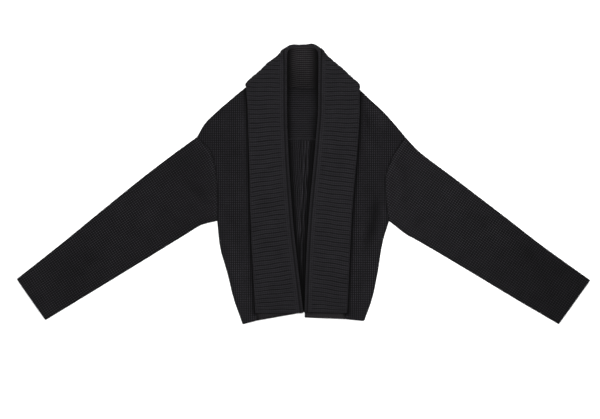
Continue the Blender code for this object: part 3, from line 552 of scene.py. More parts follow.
# The fronts are painted lighter towards the hem than on the chest.
HEM_TONE, CHEST_TONE = 1.15, 0.95
FALL_SHADE_REACH = 7.0
FALL_SHADE_STARTS = (-332.0, -322.0)  # from the collar's lower end up, in Y


def front_base(y):
    return FRONT_BASE + NECK_LIFT * smooth(*CLIMB, y)


Crease = namedtuple("Crease", "from_x from_y to_x to_y width height")
CREASE_BOW = 0.06  # a crease bows sideways by this share of its length


def creases(x, y, table):
    """Soft ridges, or troughs where the height is negative, that fade towards both ends."""
    height = np.zeros(np.broadcast(x, y).shape)
    for crease in table:
        run = np.array([crease.to_x - crease.from_x, crease.to_y - crease.from_y])
        length = np.linalg.norm(run)
        run = run / length
        along = ((x - crease.from_x) * run[0] + (y - crease.from_y) * run[1]) / length
        bow = CREASE_BOW * length * np.sin(np.pi * np.clip(along, 0, 1))
        across = (y - crease.from_y) * run[0] - (x - crease.from_x) * run[1] - bow
        fade = smooth(0, 0.35, along) * (1 - smooth(0.55, 1, along))
        height += crease.height * bell(across / crease.width) * fade
    return height


Front = namedtuple("Front", "name outline free_edge hem_inner tip creases")
FRONTS = (
    Front(
        "front_left",
        LEFT,
        Curve(((-341, -119.5), (-92, -132), (190, -139.5), (225, -142.5), (240, -143.5))),
        hem_inner=-341.0,
        tip=242.0,
        creases=(
            Crease(-150, 196, -176, 70, 9, 1.0),
            Crease(-158, 150, -196, 30, 11, -0.7),
            Crease(-146, 60, -150, -120, 7, 0.8),
            Crease(-205, -60, -150, -150, 9, -0.7),
            Crease(-186, -140, -168, -262, 8, 0.7),
            Crease(-140, -200, -146, -320, 6, -0.6),
            Crease(-212, -85, -176, -30, 7, 0.9),
        ),
    ),
    Front(
        "front_right",
        RIGHT,
        Curve(((-337, 108.3), (-92, 120), (200, 140), (222, 140), (240, 140))),
        hem_inner=-337.0,
        tip=236.0,
        creases=(
            Crease(156, 215, 214, 122, 14, 1.2),
            Crease(150, 205, 158, 110, 6, -1.3),
            Crease(152, 130, 172, 20, 10, 0.8),
            Crease(182, -2, 143, -196, 12, -2.6),
            Crease(200, -20, 184, -165, 6, 1.5),
            Crease(140, -40, 138, -190, 6, 0.8),
            Crease(172, -170, 160, -310, 9, 0.9),
            Crease(135, -200, 132, -320, 5, -0.7),
        ),
    ),
)

# Waffle knit: small raised squares in near black with painted shade in the hollows, so it looks like a
# fine grid.
front_wool = wool(
    "near-black carded wool, waffle knit",
    BLACK,
    IN_PAINTED_SHADE,
    wale=WAFFLE_WALE,
    course=WAFFLE_COURSE,
    depth=0.5,
    loops=0.9,
)


def front(panel):
    sign, outline = panel.outline.sign, panel.outline
    hem = outline.side[0].y
    row = spread(hem, panel.tip, WAFFLE_COURSE / 4)[:, None]
    slope = (panel.hem_inner - hem) * np.maximum(0.0, 1 - (row - hem) / HEM_ZONE)
    outer = outline_x(outline, row) - sign * SEAM_GAP / 2
    inner = panel.free_edge(row + slope) - sign * (FREE_OVER_SEAM - SEAM_GAP)
    outer = sign * np.maximum(sign * outer, sign * inner + SEAM_GAP)
    reach = sign * spread(*FRONT_WIDTH, WAFFLE_WALE / 4)
    across = np.concatenate([reach, reach[::-8]])[None, :]
    upper = np.arange(across.shape[1])[None, :] < len(reach)
    x = sign * np.clip(sign * across, sign * inner, sign * outer)
    y = row + slope * (x - outer) / (inner - outer)
    edge = np.abs(x - outer)

    armhole = beside_armhole(outline, row)
    base = front_base(row)
    on_back = yoke_base(row) + KNIT + 1.5 * SEAM_GAP
    wales, courses = ridges(x, WAFFLE_WALE), ridges(row, WAFFLE_COURSE)
    waffle = WALE_HEIGHT * wales + COURSE_HEIGHT * courses
    soft = creases(x, y, panel.creases) * smooth(0, 14, edge) * (row < CLIMB[1])
    edge_z = lerp(on_back + SIDE_EDGE, base + KNIT - FRONT_DIP, armhole)
    shape = lerp(rounded(edge), smooth(-1, 4, edge), armhole)
    over = lerp(edge_z, base + KNIT + waffle + soft, shape)
    under = base + np.maximum(soft, 0.0) * CREASE_UNDER
    under = lerp(lerp(on_back, base, armhole), under, smooth(0, ROUNDING, edge))
    z = np.where(upper, np.maximum(over, under + THINNEST), under)
    points = closed(np.stack([x, y, z], axis=2))

    beside_fall = np.maximum(sign * (x - panel.free_edge(y)), 0.0)
    shaded = bell(beside_fall / FALL_SHADE_REACH) * smooth(*FALL_SHADE_STARTS, y)
    # Painted light and shade: hollows darker, waffle tops and raised creases lighter, troughs darker, and
    # shade beside the fall.
    lit = np.where(upper, WAFFLE_HOLLOW_SHADE + WAFFLE_TOP_LIGHT * wales * courses, HIDDEN_TONE)
    lit = lit * (1 + CREASE_LIGHT * soft) * lerp(HEM_TONE, CHEST_TONE, smooth(-300, 0, y))
    lit = lit * (1 - SHADE * shaded)
    return knitted(panel.name + "_knit", points, points[:, :, :2], closed(lit), front_wool)


for panel in FRONTS:
    piece = front(panel)
    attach(piece, "root")
    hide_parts(panel.name)

# --- Sleeves ----------------------------------------------------------------------------------
# Each sleeve is one piece of the same wool, folded at the top of the arm and seamed under it, then
# linked flat to the dropped armhole. Fine ribs run round the arm, and the cuff is left plain.

SLEEVE_SIDE = 7.0  # height of a flattened sleeve beside its long edges
SLEEVE_CROWN = 9.0  # and at its middle
SLEEVE_RIB = 0.55
SLEEVE_PRESSED = 0.3  # height of the ribs on the face that lies on the table
SLEEVE_DIP = 0.8  # the sleeve sinks by this much towards the armhole's chain
SLEEVE_COLUMNS = 45
EDGE_Z = KNIT + SEAM_GAP  # height of the folds along its edges
CUFF_DEPTH = 60.0  # the inside is modelled in full from the cuff up to this far
CUFF_LIP = 1.2  # thickness of each layer of cloth at the cuff's very edge
BULGE = -45.0  # the armhole reaches back this far along the sleeve
PAST_END = 10.0  # rows run on past both ends, and are gathered there at the seam and the cuff
INSIDE_INSET = 2.6  # the hollow's folds lie this far inside the sleeve's own
HOLLOW = 0.3  # height of the hollow where the sleeve is thinnest
OTHER_SIDE = 1000.0  # sets the stitches of a hidden face apart in the pattern
SLEEVE_FURROW_SHADE, SLEEVE_RIB_LIGHT, PLAIN_TONE = 0.84, 0.22, 0.95  # painted shade of the furrows, the painted light that the ribs add, and plain cloth
ARMHOLE_HIGHLIGHT = 0.4  # painted highlight: how much lighter the line beside the armhole is painted
HIGHLIGHT_AT, HIGHLIGHT_WIDTH = 8.0, 3.5

Section = namedtuple("Section", "top_x top_y under_x under_y")
# A sleeve's tone is painted light and shade along the arm: by distance from the armhole, the share by
# which it is painted lighter or darker.
Sleeve = namedtuple("Sleeve", "name outline sections tone creases")
SLEEVES = (
    Sleeve(
        "sleeve_left",
        LEFT,
        sections=(
            Section(-265, 118, -215, -92),
            Section(-304, 90, -262, -106),
            Section(-384, 30, -283, -119),
            Section(-496, -60, -403, -193),
            Section(-606, -150, -524, -267),
            Section(-716, -237, -644, -340),
        ),
        tone=((0, 0.84), (60, 0.76), (180, 0.86), (330, 0.9), (420, 0.86), (520, 1.0)),
        creases=(
            Crease(-226, 30, -222, -92, 6, -1.8),
            Crease(-212, -38, -252, -30, 3.5, 1.6),
            Crease(-212, -52, -258, -54, 3.5, 1.8),
            Crease(-212, -68, -252, -76, 3.5, 1.6),
            Crease(-232, -84, -300, 10, 9, 1.3),
            Crease(-228, -40, -330, 45, 11, -0.9),
            Crease(-245, -92, -330, -60, 8, 1.2),
            Crease(-300, -112, -360, -30, 9, -0.9),
            Crease(-350, -20, -430, -120, 13, 0.9),
            Crease(-420, -60, -455, -170, 10, -1.0),
            Crease(-470, -100, -560, -170, 12, 0.8),
            Crease(-520, -170, -580, -240, 9, -0.7),
            Crease(-600, -190, -670, -290, 11, 0.7),
            Crease(-470, -110, -690, -290, 34, -1.0),
        ),
    ),
    Sleeve(
        "sleeve_right",
        RIGHT,
        sections=(
            Section(253, 118, 213, -92),
            Section(296, 75, 258, -127),
            Section(376, 15, 275, -136),
            Section(494, -75, 403, -211),
            Section(611, -165, 529, -287),
            Section(716, -240, 637, -350),
        ),
        tone=((0, 1.0), (120, 1.0), (300, 0.9), (450, 0.76), (540, 0.7)),
        creases=(
            Crease(224, 60, 236, -60, 8, 1.4),
            Crease(240, 80, 252, -80, 9, -1.2),
            Crease(216, -70, 290, 20, 9, 1.0),
            Crease(230, -98, 262, -60, 6, 1.3),
            Crease(265, -120, 330, -70, 9, -1.0),
            Crease(330, 10, 400, -100, 13, 0.9),
            Crease(390, -60, 470, -120, 11, -0.9),
            Crease(450, -90, 540, -200, 12, 0.8),
            Crease(545, -150, 600, -250, 10, -0.8),
            Crease(610, -210, 660, -300, 10, 0.7),
            Crease(470, -130, 700, -300, 36, -1.3),
        ),
    ),
)


class Arm:
    """A sleeve measured along its middle line and across it."""

    def __init__(self, sleeve):
        rows = np.array(sleeve.sections, dtype=float)
        start, end = (rows[0, :2] + rows[0, 2:]) / 2, (rows[-1, :2] + rows[-1, 2:]) / 2
        self.start, self.length = start, np.linalg.norm(end - start)
        self.down = (end - start) / self.length
        self.out = np.array([-self.down[1], self.down[0]])
        self.out *= np.sign(self.out[1])
        self.top = Curve([self.measure(row[:2]) for row in rows])
        self.under = Curve([self.measure(row[2:]) for row in rows])
        armhole = Curve(sleeve.outline.armhole)
        clear = sleeve.outline.sign * SEAM_GAP / 2
        ys = np.linspace(sleeve.outline.armhole[0].y, sleeve.outline.armhole[-1].y, 24)
        seam = [self.measure(np.array([armhole(y) + clear, y])) for y in ys]
        self.armhole = Curve([(across, along) for along, across in seam])
        self.cuff = Curve([self.measure(row)[::-1] for row in (rows[-1, :2], rows[-1, 2:])])

    def measure(self, point):
        return (point - self.start) @ self.down, (point - self.start) @ self.out

    def place(self, along, share):
        """X and Y at a distance along and a share of the way from the top edge to the under edge."""
        along = along + 0 * share
        limited = along
        for _ in range(8):
            across = lerp(self.top(limited), self.under(limited), share)
            limited = np.clip(along, self.armhole(across), self.cuff(across))
        x, y = (self.start[i] + self.down[i] * limited + self.out[i] * across for i in (0, 1))
        return x, y, limited, across


# Waffle with open stitches: small charcoal loops with wide gaps in painted shade, so it looks finely
# speckled.
sleeve_wool = wool(
    "near-black carded wool, sleeve waffle",
    "#28272A",
    IN_PAINTED_SHADE,
    wale=RIB_PITCH,
    course=5.3,
    depth=0.5,
    loops=1.0,
    gap=2.2,
)


def sleeve_cloth(sleeve):
    arm = Arm(sleeve)
    even = np.linspace(0, 1, SLEEVE_COLUMNS)
    upper_share = lerp((1 - np.cos(even * np.pi)) / 2, even, 0.75)
    share = np.concatenate([upper_share, upper_share[::-3][1:]])[None, :]
    on_top = np.arange(share.shape[1])[None, :] < SLEEVE_COLUMNS
    first = min(arm.armhole(arm.top(0)), arm.armhole(arm.under(0)), BULGE) - PAST_END
    outside = spread(first, arm.length + PAST_END, RIB_PITCH / 6)
    cuff_inside = np.linspace(arm.length + PAST_END, arm.length - CUFF_DEPTH, 8)
    deep_inside = np.linspace(arm.length - CUFF_DEPTH, first, 12)[1:]
    along = np.concatenate([outside, cuff_inside, deep_inside])[:, None]
    outer = np.arange(len(along))[:, None] < len(outside)
    x, y, at, across = arm.place(along, share)
    edge = np.minimum(share, 1 - share) * np.abs(arm.top(at) - arm.under(at))
    from_armhole = at - arm.armhole(across)
    from_cuff = arm.cuff(across) - at

    part = at / arm.length
    fullness = smooth(0, 0.25, part) * (1 - 0.4 * smooth(0.8, 1.0, part))
    full = SLEEVE_SIDE + (SLEEVE_CROWN - SLEEVE_SIDE) * fullness * (1 - np.abs(2 * share - 1) ** 2.5)
    full = lerp(FRONT_BASE + KNIT - SLEEVE_DIP, full, smooth(0, 18, from_armhole))
    knit = ridges(at, RIB_PITCH)
    rib = SLEEVE_RIB * knit * smooth(6, 24, from_cuff) * smooth(6, 18, from_armhole)
    soft = creases(x, y, sleeve.creases) * smooth(0, 16, edge) * smooth(0, 12, from_armhole)
    over = lerp(EDGE_Z, full + soft, rounded(edge)) + rib * smooth(0, 4, edge)
    beneath = EDGE_Z * (1 - rounded(edge)) + SLEEVE_PRESSED * (1 - knit)
    hollow_top = np.maximum(over - KNIT, EDGE_Z + HOLLOW)
    hollow_under = np.minimum(beneath + KNIT, EDGE_Z)
    cuff_edge = np.where(on_top, hollow_top + CUFF_LIP, hollow_under - CUFF_LIP)
    z_outside = lerp(cuff_edge, np.where(on_top, over, beneath), smooth(-1.5, 2.5, from_cuff))
    z = np.where(outer, z_outside, np.where(on_top, hollow_top, hollow_under))
    inset = np.where(outer, 0.0, INSIDE_INSET) * (1 - smooth(0, 10, edge)) * np.sign(across)
    points = np.stack([x - arm.out[0] * inset, y - arm.out[1] * inset, z], axis=2)

    plain = 1 - smooth(6, 20, from_armhole) * smooth(6, 24, from_cuff)
    # Painted light and shade: furrows darker, raised creases lighter, troughs darker, a painted highlight
    # beside the armhole, and the sleeve's tone along the arm.
    lit = lerp(SLEEVE_FURROW_SHADE + SLEEVE_RIB_LIGHT * knit, PLAIN_TONE, plain) * (1 + 0.6 * CREASE_LIGHT * soft)
    highlight_line = 1 + ARMHOLE_HIGHLIGHT * bell((from_armhole - HIGHLIGHT_AT) / HIGHLIGHT_WIDTH)
    lit = lit * highlight_line * Curve(sleeve.tone)(from_armhole)
    threads = np.stack([at, across + OTHER_SIDE * ~on_top], axis=2)
    points, threads, lit = (closed(closed(grid), axis=0) for grid in (points, threads, lit))
    return knitted(sleeve.name + "_knit", points, threads, lit, sleeve_wool)


for sleeve in SLEEVES:
    piece = sleeve_cloth(sleeve)
    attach(piece, "root")
    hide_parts(sleeve.name)

# --- Linked seams -----------------------------------------------------------------------------
# The panels are joined edge to edge on a linking machine, with a chain of the same yarn. One chain
# runs across the back below the yoke and one round each armhole. Each side seam and shoulder seam
# has one, and so has each seam of the collar to a front.

STITCH = 4.2  # length of one chain stitch
WAIST = 0.8  # the chain's thickness between its loops, as a share
SHADE_BETWEEN_LOOPS = 0.3  # and its painted shade there, as a tone
YOKE_CHAIN, ARMHOLE_CHAIN, COLLAR_CHAIN, SIDE_CHAIN = 1.8, 1.5, 1.5, 0.9  # radii
ARMHOLE_TONE = 0.4
MID_WALL = 1.6  # height of a chain inside the wall that it joins
SIDE_RISE = 0.2  # the chains of the side and shoulder seams lie this far above the back
YOKE_CHAIN_Z, ARMHOLE_CHAIN_Z = 1.9, 1.7  # heights of the chains in the back's walls
PATH_POINTS = 60
UP, OUT = (0, 0, 1), (1, 0, 0)
OUTLINES = (LEFT, RIGHT)


def linked_seam(name, path, square_to, radius, tone=1.0):
    """A chain of stitches along a path. Square_to is a direction that no part of the path runs in."""
    gaps = np.linalg.norm(np.diff(path, axis=0), axis=1)
    run = np.concatenate([[0.0], np.cumsum(gaps)])
    count = int(run[-1] / STITCH)
    at = np.linspace(0, run[-1], count * 4 + 1)
    path = np.stack([np.interp(at, run, part) for part in path.T], axis=1)
    ahead = np.gradient(path, axis=0)
    ahead /= np.linalg.norm(ahead, axis=1, keepdims=True)
    side = np.cross(ahead, square_to)
    side /= np.linalg.norm(side, axis=1, keepdims=True)
    square = np.cross(side, ahead)
    loop = 0.5 - 0.5 * np.cos(2 * np.pi * at / (at[-1] / count))[:, None]
    turn = np.linspace(0, 2 * np.pi, 9)[None, :]
    reach = radius * lerp(WAIST, 1.0, loop)
    points = path[:, None, :] + (reach * np.cos(turn))[:, :, None] * side[:, None, :]
    points += (reach * np.sin(turn))[:, :, None] * square[:, None, :]
    points[:, -1] = points[:, 0]
    threads = np.stack(np.broadcast_arrays(at[:, None], turn * radius), axis=2)
    piece = knitted(name, points, threads, tone * lerp(SHADE_BETWEEN_LOOPS, 1.0, loop), body_wool)
    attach(piece, "root")


def seam_path(xs, ys, zs):
    return np.stack(np.broadcast_arrays(np.asarray(xs, dtype=float), ys, zs), axis=1)


across_back = np.linspace(*(float(outline_x(outline, YOKE_SEAM)) for outline in OUTLINES), PATH_POINTS)
linked_seam("yoke_seam", seam_path(across_back, YOKE_SEAM, YOKE_CHAIN_Z), UP, YOKE_CHAIN)
for outline, side in zip(OUTLINES, ("left", "right")):
    up = np.linspace(outline.armhole[0].y + 1.5, outline.armhole[-1].y - 2.5, PATH_POINTS)
    edge = Curve(outline.armhole)
    front_run = seam_path(edge(up), up, FRONT_BASE + MID_WALL)
    back_run = seam_path(edge(up), up, ARMHOLE_CHAIN_Z)[::-1]
    armhole = np.concatenate([front_run, back_run, front_run[:1]])
    linked_seam("armhole_seam_" + side, armhole, OUT, ARMHOLE_CHAIN, ARMHOLE_TONE)
    up = np.linspace(outline.side[0].y + 1.5, outline.side[-1].y, PATH_POINTS)
    beside = seam_path(Curve(outline.side)(up), up, KNIT + SIDE_RISE)
    linked_seam("side_seam_" + side, beside, UP, SIDE_CHAIN)
    up = np.linspace(outline.shoulder[0].y, outline.shoulder[-1].y - 3, PATH_POINTS)
    shoulder = seam_path(Curve(outline.shoulder)(up), up, yoke_base(up) + KNIT + SIDE_RISE)
    linked_seam("shoulder_seam_" + side, shoulder, UP, SIDE_CHAIN)
for panel, side in zip(FRONTS, ("left", "right")):
    up = np.linspace(panel.hem_inner + 1.5, CLIMB[1] - 12, PATH_POINTS)
    inner = panel.free_edge(up) - panel.outline.sign * FREE_OVER_SEAM
    linked_seam("collar_seam_" + side, seam_path(inner, up, front_base(up) + MID_WALL), UP, COLLAR_CHAIN)

# --- Collar stand -----------------------------------------------------------------------------
# The under collar is a long strip of plain charcoal knitting, sewn to the fronts and the yoke. Most
# of it lies under the fall; behind the neck it shows inside the opening, with fine lines along it.

CORNERS = (7, 13)  # the collar turns over between these rows of ROLL
FOLDS = (((-39, 347), (-139, 255)), ((36, 342), (134, 254.5)))  # X, Y of the diagonal shoulder folds
FOLD_IN_X = 1 / 0.68  # a step square to the fold, measured in X
FOLD_IN_Y = 1 / 0.73  # and in Y
STAND_RISE = (
    Curve(((-321, 20), (-290, 18), (-240, 15), (60, 10), (150, 4), (205, 0))),
    Curve(((-333, 4), (-321, 8), (-290, 12), (60, 10), (150, 4), (205, 0))),
)  # how much lower the free edge is than the roll, at each Y of the roll
FALL_RISE = Curve(((-321, 2), (-290, 9), (-240, 14), (-92, 14), (60, 10), (150, 4), (205, 0)))
BORDER_HALF = 5.0  # half the height of the soft roll
LIP = 6.7  # the fall wraps round the roll and ends this far in, where the stand begins
STAND_START = -2.4  # the stand's upper face begins this far below the roll's middle
SWING = (0.96, 0.55)  # how full the fold swings, where the roll lies flat and where it stands up
BELOW_FALL = 12.0  # at the right front's hem the stand shows below the fall by this much
STAND_LINE = 5.0  # pitch of the fine lines along the stand
STAND_RELIEF = 0.55
STAND_ROW, NECK_ROW = 18.0, 3.0  # spacing of its rows on the chest, and from the neck up
ON_FRONT, ROUND_FOLD, BEHIND_NECK = 12, 12, 96  # points across it
STAND_SHADE_AT_SEAM, STAND_LIGHT_ABOVE = 0.66, 1.12  # painted shade beside the neck seam, and painted light well above it

# A skin of a collar layer: its height on the fronts and behind the neck, how far inside the
# shoulder fold it turns, and where it ends beside the seam.
Skin = namedtuple("Skin", "over_base behind inset over_seam")
STAND_OUTER = Skin(KNIT, YOKE_LIFT, 4.6, -SEAM_GAP / 2)
STAND_INNER = Skin(0.0, YOKE_LIFT + KNIT, 7.4, -SEAM_GAP / 2)


def swung(bends, t):
    """Points at shares t of a swing from the first of four places to the last. It leaves towards
    the second place and arrives from the third."""
    t = np.asarray(t)[:, None]
    a, b, c, d = bends
    return a * (1 - t) ** 3 + 3 * b * t * (1 - t) ** 2 + 3 * c * t * t * (1 - t) + d * t**3


class Collar:
    """The run of the roll edge, and the rows of cloth that hang from it."""

    def __init__(self):
        places = np.array([[roll.x, roll.y] for roll in ROLL])
        along = np.concatenate([[0.0], np.cumsum(np.linalg.norm(np.diff(places, axis=0), axis=1))])
        self.length = float(along[-1])
        self.curves = [Curve(zip(along, part)) for part in zip(*ROLL)]
        self.middle = float(along[len(ROLL) // 2])
        self.corners = [float(along[row]) for row in CORNERS]

    def at(self, s):
        """Roll edge point, direction away from the cloth, direction through the fall, turn, scale."""
        within = min(max(s, 0.0), self.length)
        x, y, over_base, turn, scale = (float(curve(within)) for curve in self.curves)
        low, high = max(within - 1.0, 0.0), min(within + 1.0, self.length)
        tangent = np.array([curve(high) - curve(low) for curve in self.curves[:2]] + [0.0])
        tangent /= np.linalg.norm(tangent)
        level = np.array([tangent[1], -tangent[0], 0.0])
        angle = np.radians(turn)
        out = np.cos(angle) * level + np.sin(angle) * np.array([0, 0, 1.0])
        through = np.cross(out, tangent)
        edge = np.array([x, y, front_base(y) + over_base]) + tangent * (s - within)
        return edge, out, through, turn, scale

    def border(self, s, inward, over):
        """Points of the border's section at s. Where it faces down it is pressed flat on the table."""
        edge, out, through, turn, scale = self.at(s)
        pressed = smooth(90, 180, turn)
        over = np.where(over > 1, lerp(over, BORDER_HALF, pressed), over)
        points = edge - np.outer(inward * scale, out) + np.outer(over, through)
        points[:, 2] = np.maximum(points[:, 2], 0.0)
        return points

    def row(self, s, skin, start, over, round_fold, neck):
        """Points of the cloth that starts from the border at s: over the front, round the shoulder
        fold, and behind the neck, at shares of each."""
        edge, out, _, turn, _ = self.at(s)
        side = 0 if s < self.middle else 1
        sign = OUTLINES[side].sign
        y = edge[1]
        free_edge = FRONTS[side].free_edge
        front_z = front_base(y) + skin.over_base
        radius = (front_z - skin.behind) / 2
        (top_x, top_y), (foot_x, foot_y) = FOLDS[side]
        fold_x = lerp(top_x, foot_x, (top_y - min(y, top_y)) / (top_y - foot_y))
        fold_x -= sign * skin.inset * FOLD_IN_X
        rise = FALL_RISE if skin.over_seam > 0 else STAND_RISE[side]
        end_y = y - float(rise(y))
        seam_x = float(free_edge(end_y)) - sign * FREE_OVER_SEAM
        free = np.array([seam_x + sign * max(skin.over_seam, 0), end_y, front_z])
        tip = neck_seam(free[0]) + 2 * SEAM_GAP
        over = np.asarray(over)
        if y <= tip:
            # On the chest the cloth ends at its free edge.
            flat = lerp(start, free, over[:, None])
            flat[:, 2] = lerp(start[2], front_z, smooth(0, 14, over * np.linalg.norm(free - start)))
            return np.concatenate([flat, np.tile(free, (len(round_fold) + len(neck), 1))])

        inset = skin.inset * smooth(0, 6, y - tip)

        def inside(x):
            return sign * min(sign * x, sign * float(free_edge(y)) - inset)

        # The cloth runs flat up to the shoulder fold, or leaves the roll itself where it turns over.
        fold_start_x = sign * min(sign * fold_x - radius * FOLD_IN_X, sign * free[0])
        fold_start = np.array([fold_start_x, y, front_z])
        clear = (fold_start_x - start[0]) * sign
        front_end = lerp(fold_start, start, max(smooth(0, 30, turn), 1 - smooth(0, 12, clear)))
        front_end = lerp(free, front_end, smooth(0, 10 - 0.8 * skin.inset, y - tip))
        front_end[0] = inside(front_end[0])
        flat = lerp(start, front_end, over[:, None])

        # It swings round the fold and comes back beneath, square to the fold.
        behind = smooth(0, 180, turn)
        under_x = inside(lerp(fold_x, edge[0], behind))
        under_y = y - (skin.inset + radius) * FOLD_IN_Y - 6 * behind
        under = np.array([under_x, under_y, skin.behind])
        handle = max(front_end[2] - under[2], 1.0) * lerp(*SWING, smooth(0, 90, turn))
        leaving = lerp(np.array([sign, 0.0, 0.0]), -out, min(1.0, turn / 40.0))
        leaving = lerp(leaving, np.array([0.0, -1.0, 0.0]), smooth(60, 140, turn))
        bends = [front_end, front_end + leaving * handle, under + np.array([0, handle, 0.0]), under]
        bends[1][0] = inside(bends[1][0])

        # Near the fold's foot it stops short at the neck seam; elsewhere it runs on behind the neck.
        seam = neck_seam(under_x)
        tries = np.linspace(1.0, 0.0, 101)
        clear = swung(bends, tries)[:, 1] >= seam + 2 * SEAM_GAP
        turned = tries[np.argmax(clear)] if clear.any() else 0.0
        fold = swung(bends, np.asarray(round_fold) * turned)
        last = np.tile(fold[-1], (len(neck), 1))
        if turned > 0.99:
            near_tip = smooth(5, 30, abs(NECK_SEAM[0][0]) - abs(under_x))
            over_seam = lerp(-2 * SEAM_GAP, skin.over_seam, near_tip)
            last[:, 1] = lerp(last[:, 1], seam - over_seam, np.asarray(neck))
        return np.concatenate([flat, fold, last])


collar = Collar()


def shares(count):
    """So many even shares of a way, without its start and with its end."""
    return np.linspace(0, 1, count + 1)[1:]


def run_across(points):
    """How far along its row each point of a grid is."""
    steps = np.linalg.norm(np.diff(points, axis=1), axis=2)
    return np.cumsum(np.concatenate([np.zeros((len(points), 1)), steps], axis=1), axis=1)


def facing_up(points, sample):
    """The direction that each point of a grid faces, on the side where the sampled part faces up."""
    normal = np.cross(np.gradient(points, axis=1), np.gradient(points, axis=0))
    normal = normal / np.maximum(np.linalg.norm(normal, axis=2, keepdims=True), 1e-9)
    return normal * np.sign(np.median(normal[sample][..., 2]))


# Plain knitting in a yarn a little greyer than the body's: soft charcoal with fine even lines.
stand_wool = wool(
    "charcoal carded wool, collar stand",
    "#2D2B2D",
    IN_PAINTED_SHADE,
    wale=STAND_LINE,
    course=5.2,
    depth=0.5,
    loops=0.35,
)


def collar_stand():
    rows = [0.0]
    while rows[-1] < collar.length:
        low_on_chest = float(collar.curves[1](rows[-1])) < CLIMB[0] - 40
        rows.append(rows[-1] + (STAND_ROW if low_on_chest else NECK_ROW))
    rows[-1] = collar.length
    fall_end = collar.length + SEAM_GAP  # on the right, the stand goes on below the fall
    rows = np.concatenate([rows, [fall_end, fall_end + 0.2], fall_end + np.linspace(3, BELOW_FALL, 4)])
    across = (np.linspace(0, 1, ON_FRONT), shares(ROUND_FOLD), shares(BEHIND_NECK))
    outer, inner = [], []
    for s in rows:
        inward = LIP + 3 * SEAM_GAP if s <= fall_end else 1.0
        for skin, over, kept in ((STAND_OUTER, STAND_START, outer), (STAND_INNER, -BORDER_HALF, inner)):
            start = collar.border(s, np.array([inward]), np.array([over]))[0]
            kept.append(collar.row(s, skin, start, *across))
    outer, inner = np.array(outer), np.array(inner)
    strip = run_across(inner)
    from_seam = strip[:, -1:] - strip
    lines = ridges(strip, STAND_LINE)
    visible = np.arange(strip.shape[1])[None, :] > ON_FRONT
    relief = STAND_RELIEF * lines * visible * smooth(0, 6, from_seam)
    inner = inner + facing_up(inner, np.s_[:, :ON_FRONT]) * relief[:, :, None]
    points = closed(np.concatenate([outer, inner[:, ::-1]], axis=1))
    wales = closed(np.concatenate([strip, strip[:, ::-1] + OTHER_SIDE], axis=1))
    threads = np.stack(np.broadcast_arrays(wales, rows[:, None]), axis=2)
    # Painted light and shade: the furrows of the fine lines darker, shade beside the rolls and next to
    # the neck seam, light higher up the stand.
    shade = beside_roll(inner[:, :, 0], inner[:, :, 1])
    shade = shade * lerp(STAND_SHADE_AT_SEAM, STAND_LIGHT_ABOVE, smooth(6, 70, from_seam))
    painted_light = np.where(visible, lines**2.5 * shade, 0.8)
    painted_light = closed(np.concatenate([painted_light, painted_light[:, ::-1]], axis=1))
    return knitted("collar_stand_knit", points, threads, painted_light, stand_wool)


stand_piece = collar_stand()
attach(stand_piece, "root")
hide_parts("collar_stand")

# --- Collar fall ------------------------------------------------------------------------------
# The upper collar is a long strip of broad rib, knitted across in charcoal wool, with a plain
# border left to roll over at the edge. It turns back over the fronts and under at the shoulders.

COLLAR_KNIT = 3.5
FALL_BASE = 4.0  # underside of the fall above the underside of the stand
FALL_OUTER = Skin(FALL_BASE + COLLAR_KNIT, 0.0, 0.0, FREE_OVER_SEAM)
FALL_INNER = Skin(FALL_BASE, COLLAR_KNIT, 3.5, FREE_OVER_SEAM)
COLLAR_PITCH = 10.9
COLLAR_RIB = 1.5
RIB_START = 5.0  # the ribs rise over this distance beside the border
RIB_END = 4.0  # and sink over this distance at the free edge
RIB_ROWS = 8  # rows of points to a rib
GROOVE = 19.0  # the groove of the border, in painted shade, measured round its section from the stand
GROOVE_WIDTH = 1.8
HEM_LINE = 2.2  # width of the painted shade line along the cast-off edge at either end
GROOVE_SHADE, HEM_SHADE = 0.85, 0.75  # how dark the wool is in the groove and in that line
# Painted shade in the furrows between the broad ribs, varied at random.
FURROW_SHADE = 0.14
RIB_VARIES = (0.75, 1.1)  # the ribs' heights lie between these shares of COLLAR_RIB
OUTER_POINTS, INNER_POINTS = 26, 9  # round the border's section, outside and inside
Wave = namedtuple("Wave", "height length")
WANDER = (Wave(0.55, 9.0), Wave(0.6, 26.0))  # how the ribs wander as they run across the strip
# The border's sections: how far in from the roll edge, and how far over its middle
BORDER_OUTER = (
    (LIP, -5.0),
    (2.0, -3.9),
    (0.0, 0.0),
    (2.0, 3.9),
    (4.5, 5.0),
    (9.0, 3.6),
    (12.5, 4.9),
    (15.5, 3.6),
)
BORDER_INNER = ((LIP, -2.0), (4.2, -1.5), (3.3, -0.4), (4.4, 0.6), (9.0, 1.0), (15.5, 0.8))

# Broad rib, full and springy: charcoal ridges with uneven painted shade in the furrows between them.
fall_wool = wool(
    "charcoal carded wool, broad rib",
    BLACK,
    IN_PAINTED_SHADE,
    wale=COLLAR_PITCH / 2,
    course=5.4,
    depth=0.6,
    loops=0.5,
)


def rib_stations():
    """Places along the roll with the height of the broad ribs at each, 0 to 1, and its place in
    the knitting."""
    first, last = collar.corners
    parts = np.array([0.0, 0.07, 0.16, 0.3, 0.5, 0.7, 0.84, 0.93])
    heights = np.array([0.0, 0.5, 0.9, 1.0, 0.93, 1.0, 0.9, 0.5])
    places, height = [], []
    for low, high in ((0.0, first), (first, last), (last, collar.length)):
        ribs = round((high - low) / COLLAR_PITCH)
        for rib in range(ribs):
            places += list(lerp(low, high, (rib + parts) / ribs))
            height += list(heights)
    count = len(places) // RIB_ROWS
    threads = [(rib + part) * COLLAR_PITCH for rib in range(count) for part in parts]
    threads.append(count * COLLAR_PITCH)
    return np.array(places + [collar.length]), np.array(height + [0.0])[:, None], np.array(threads)


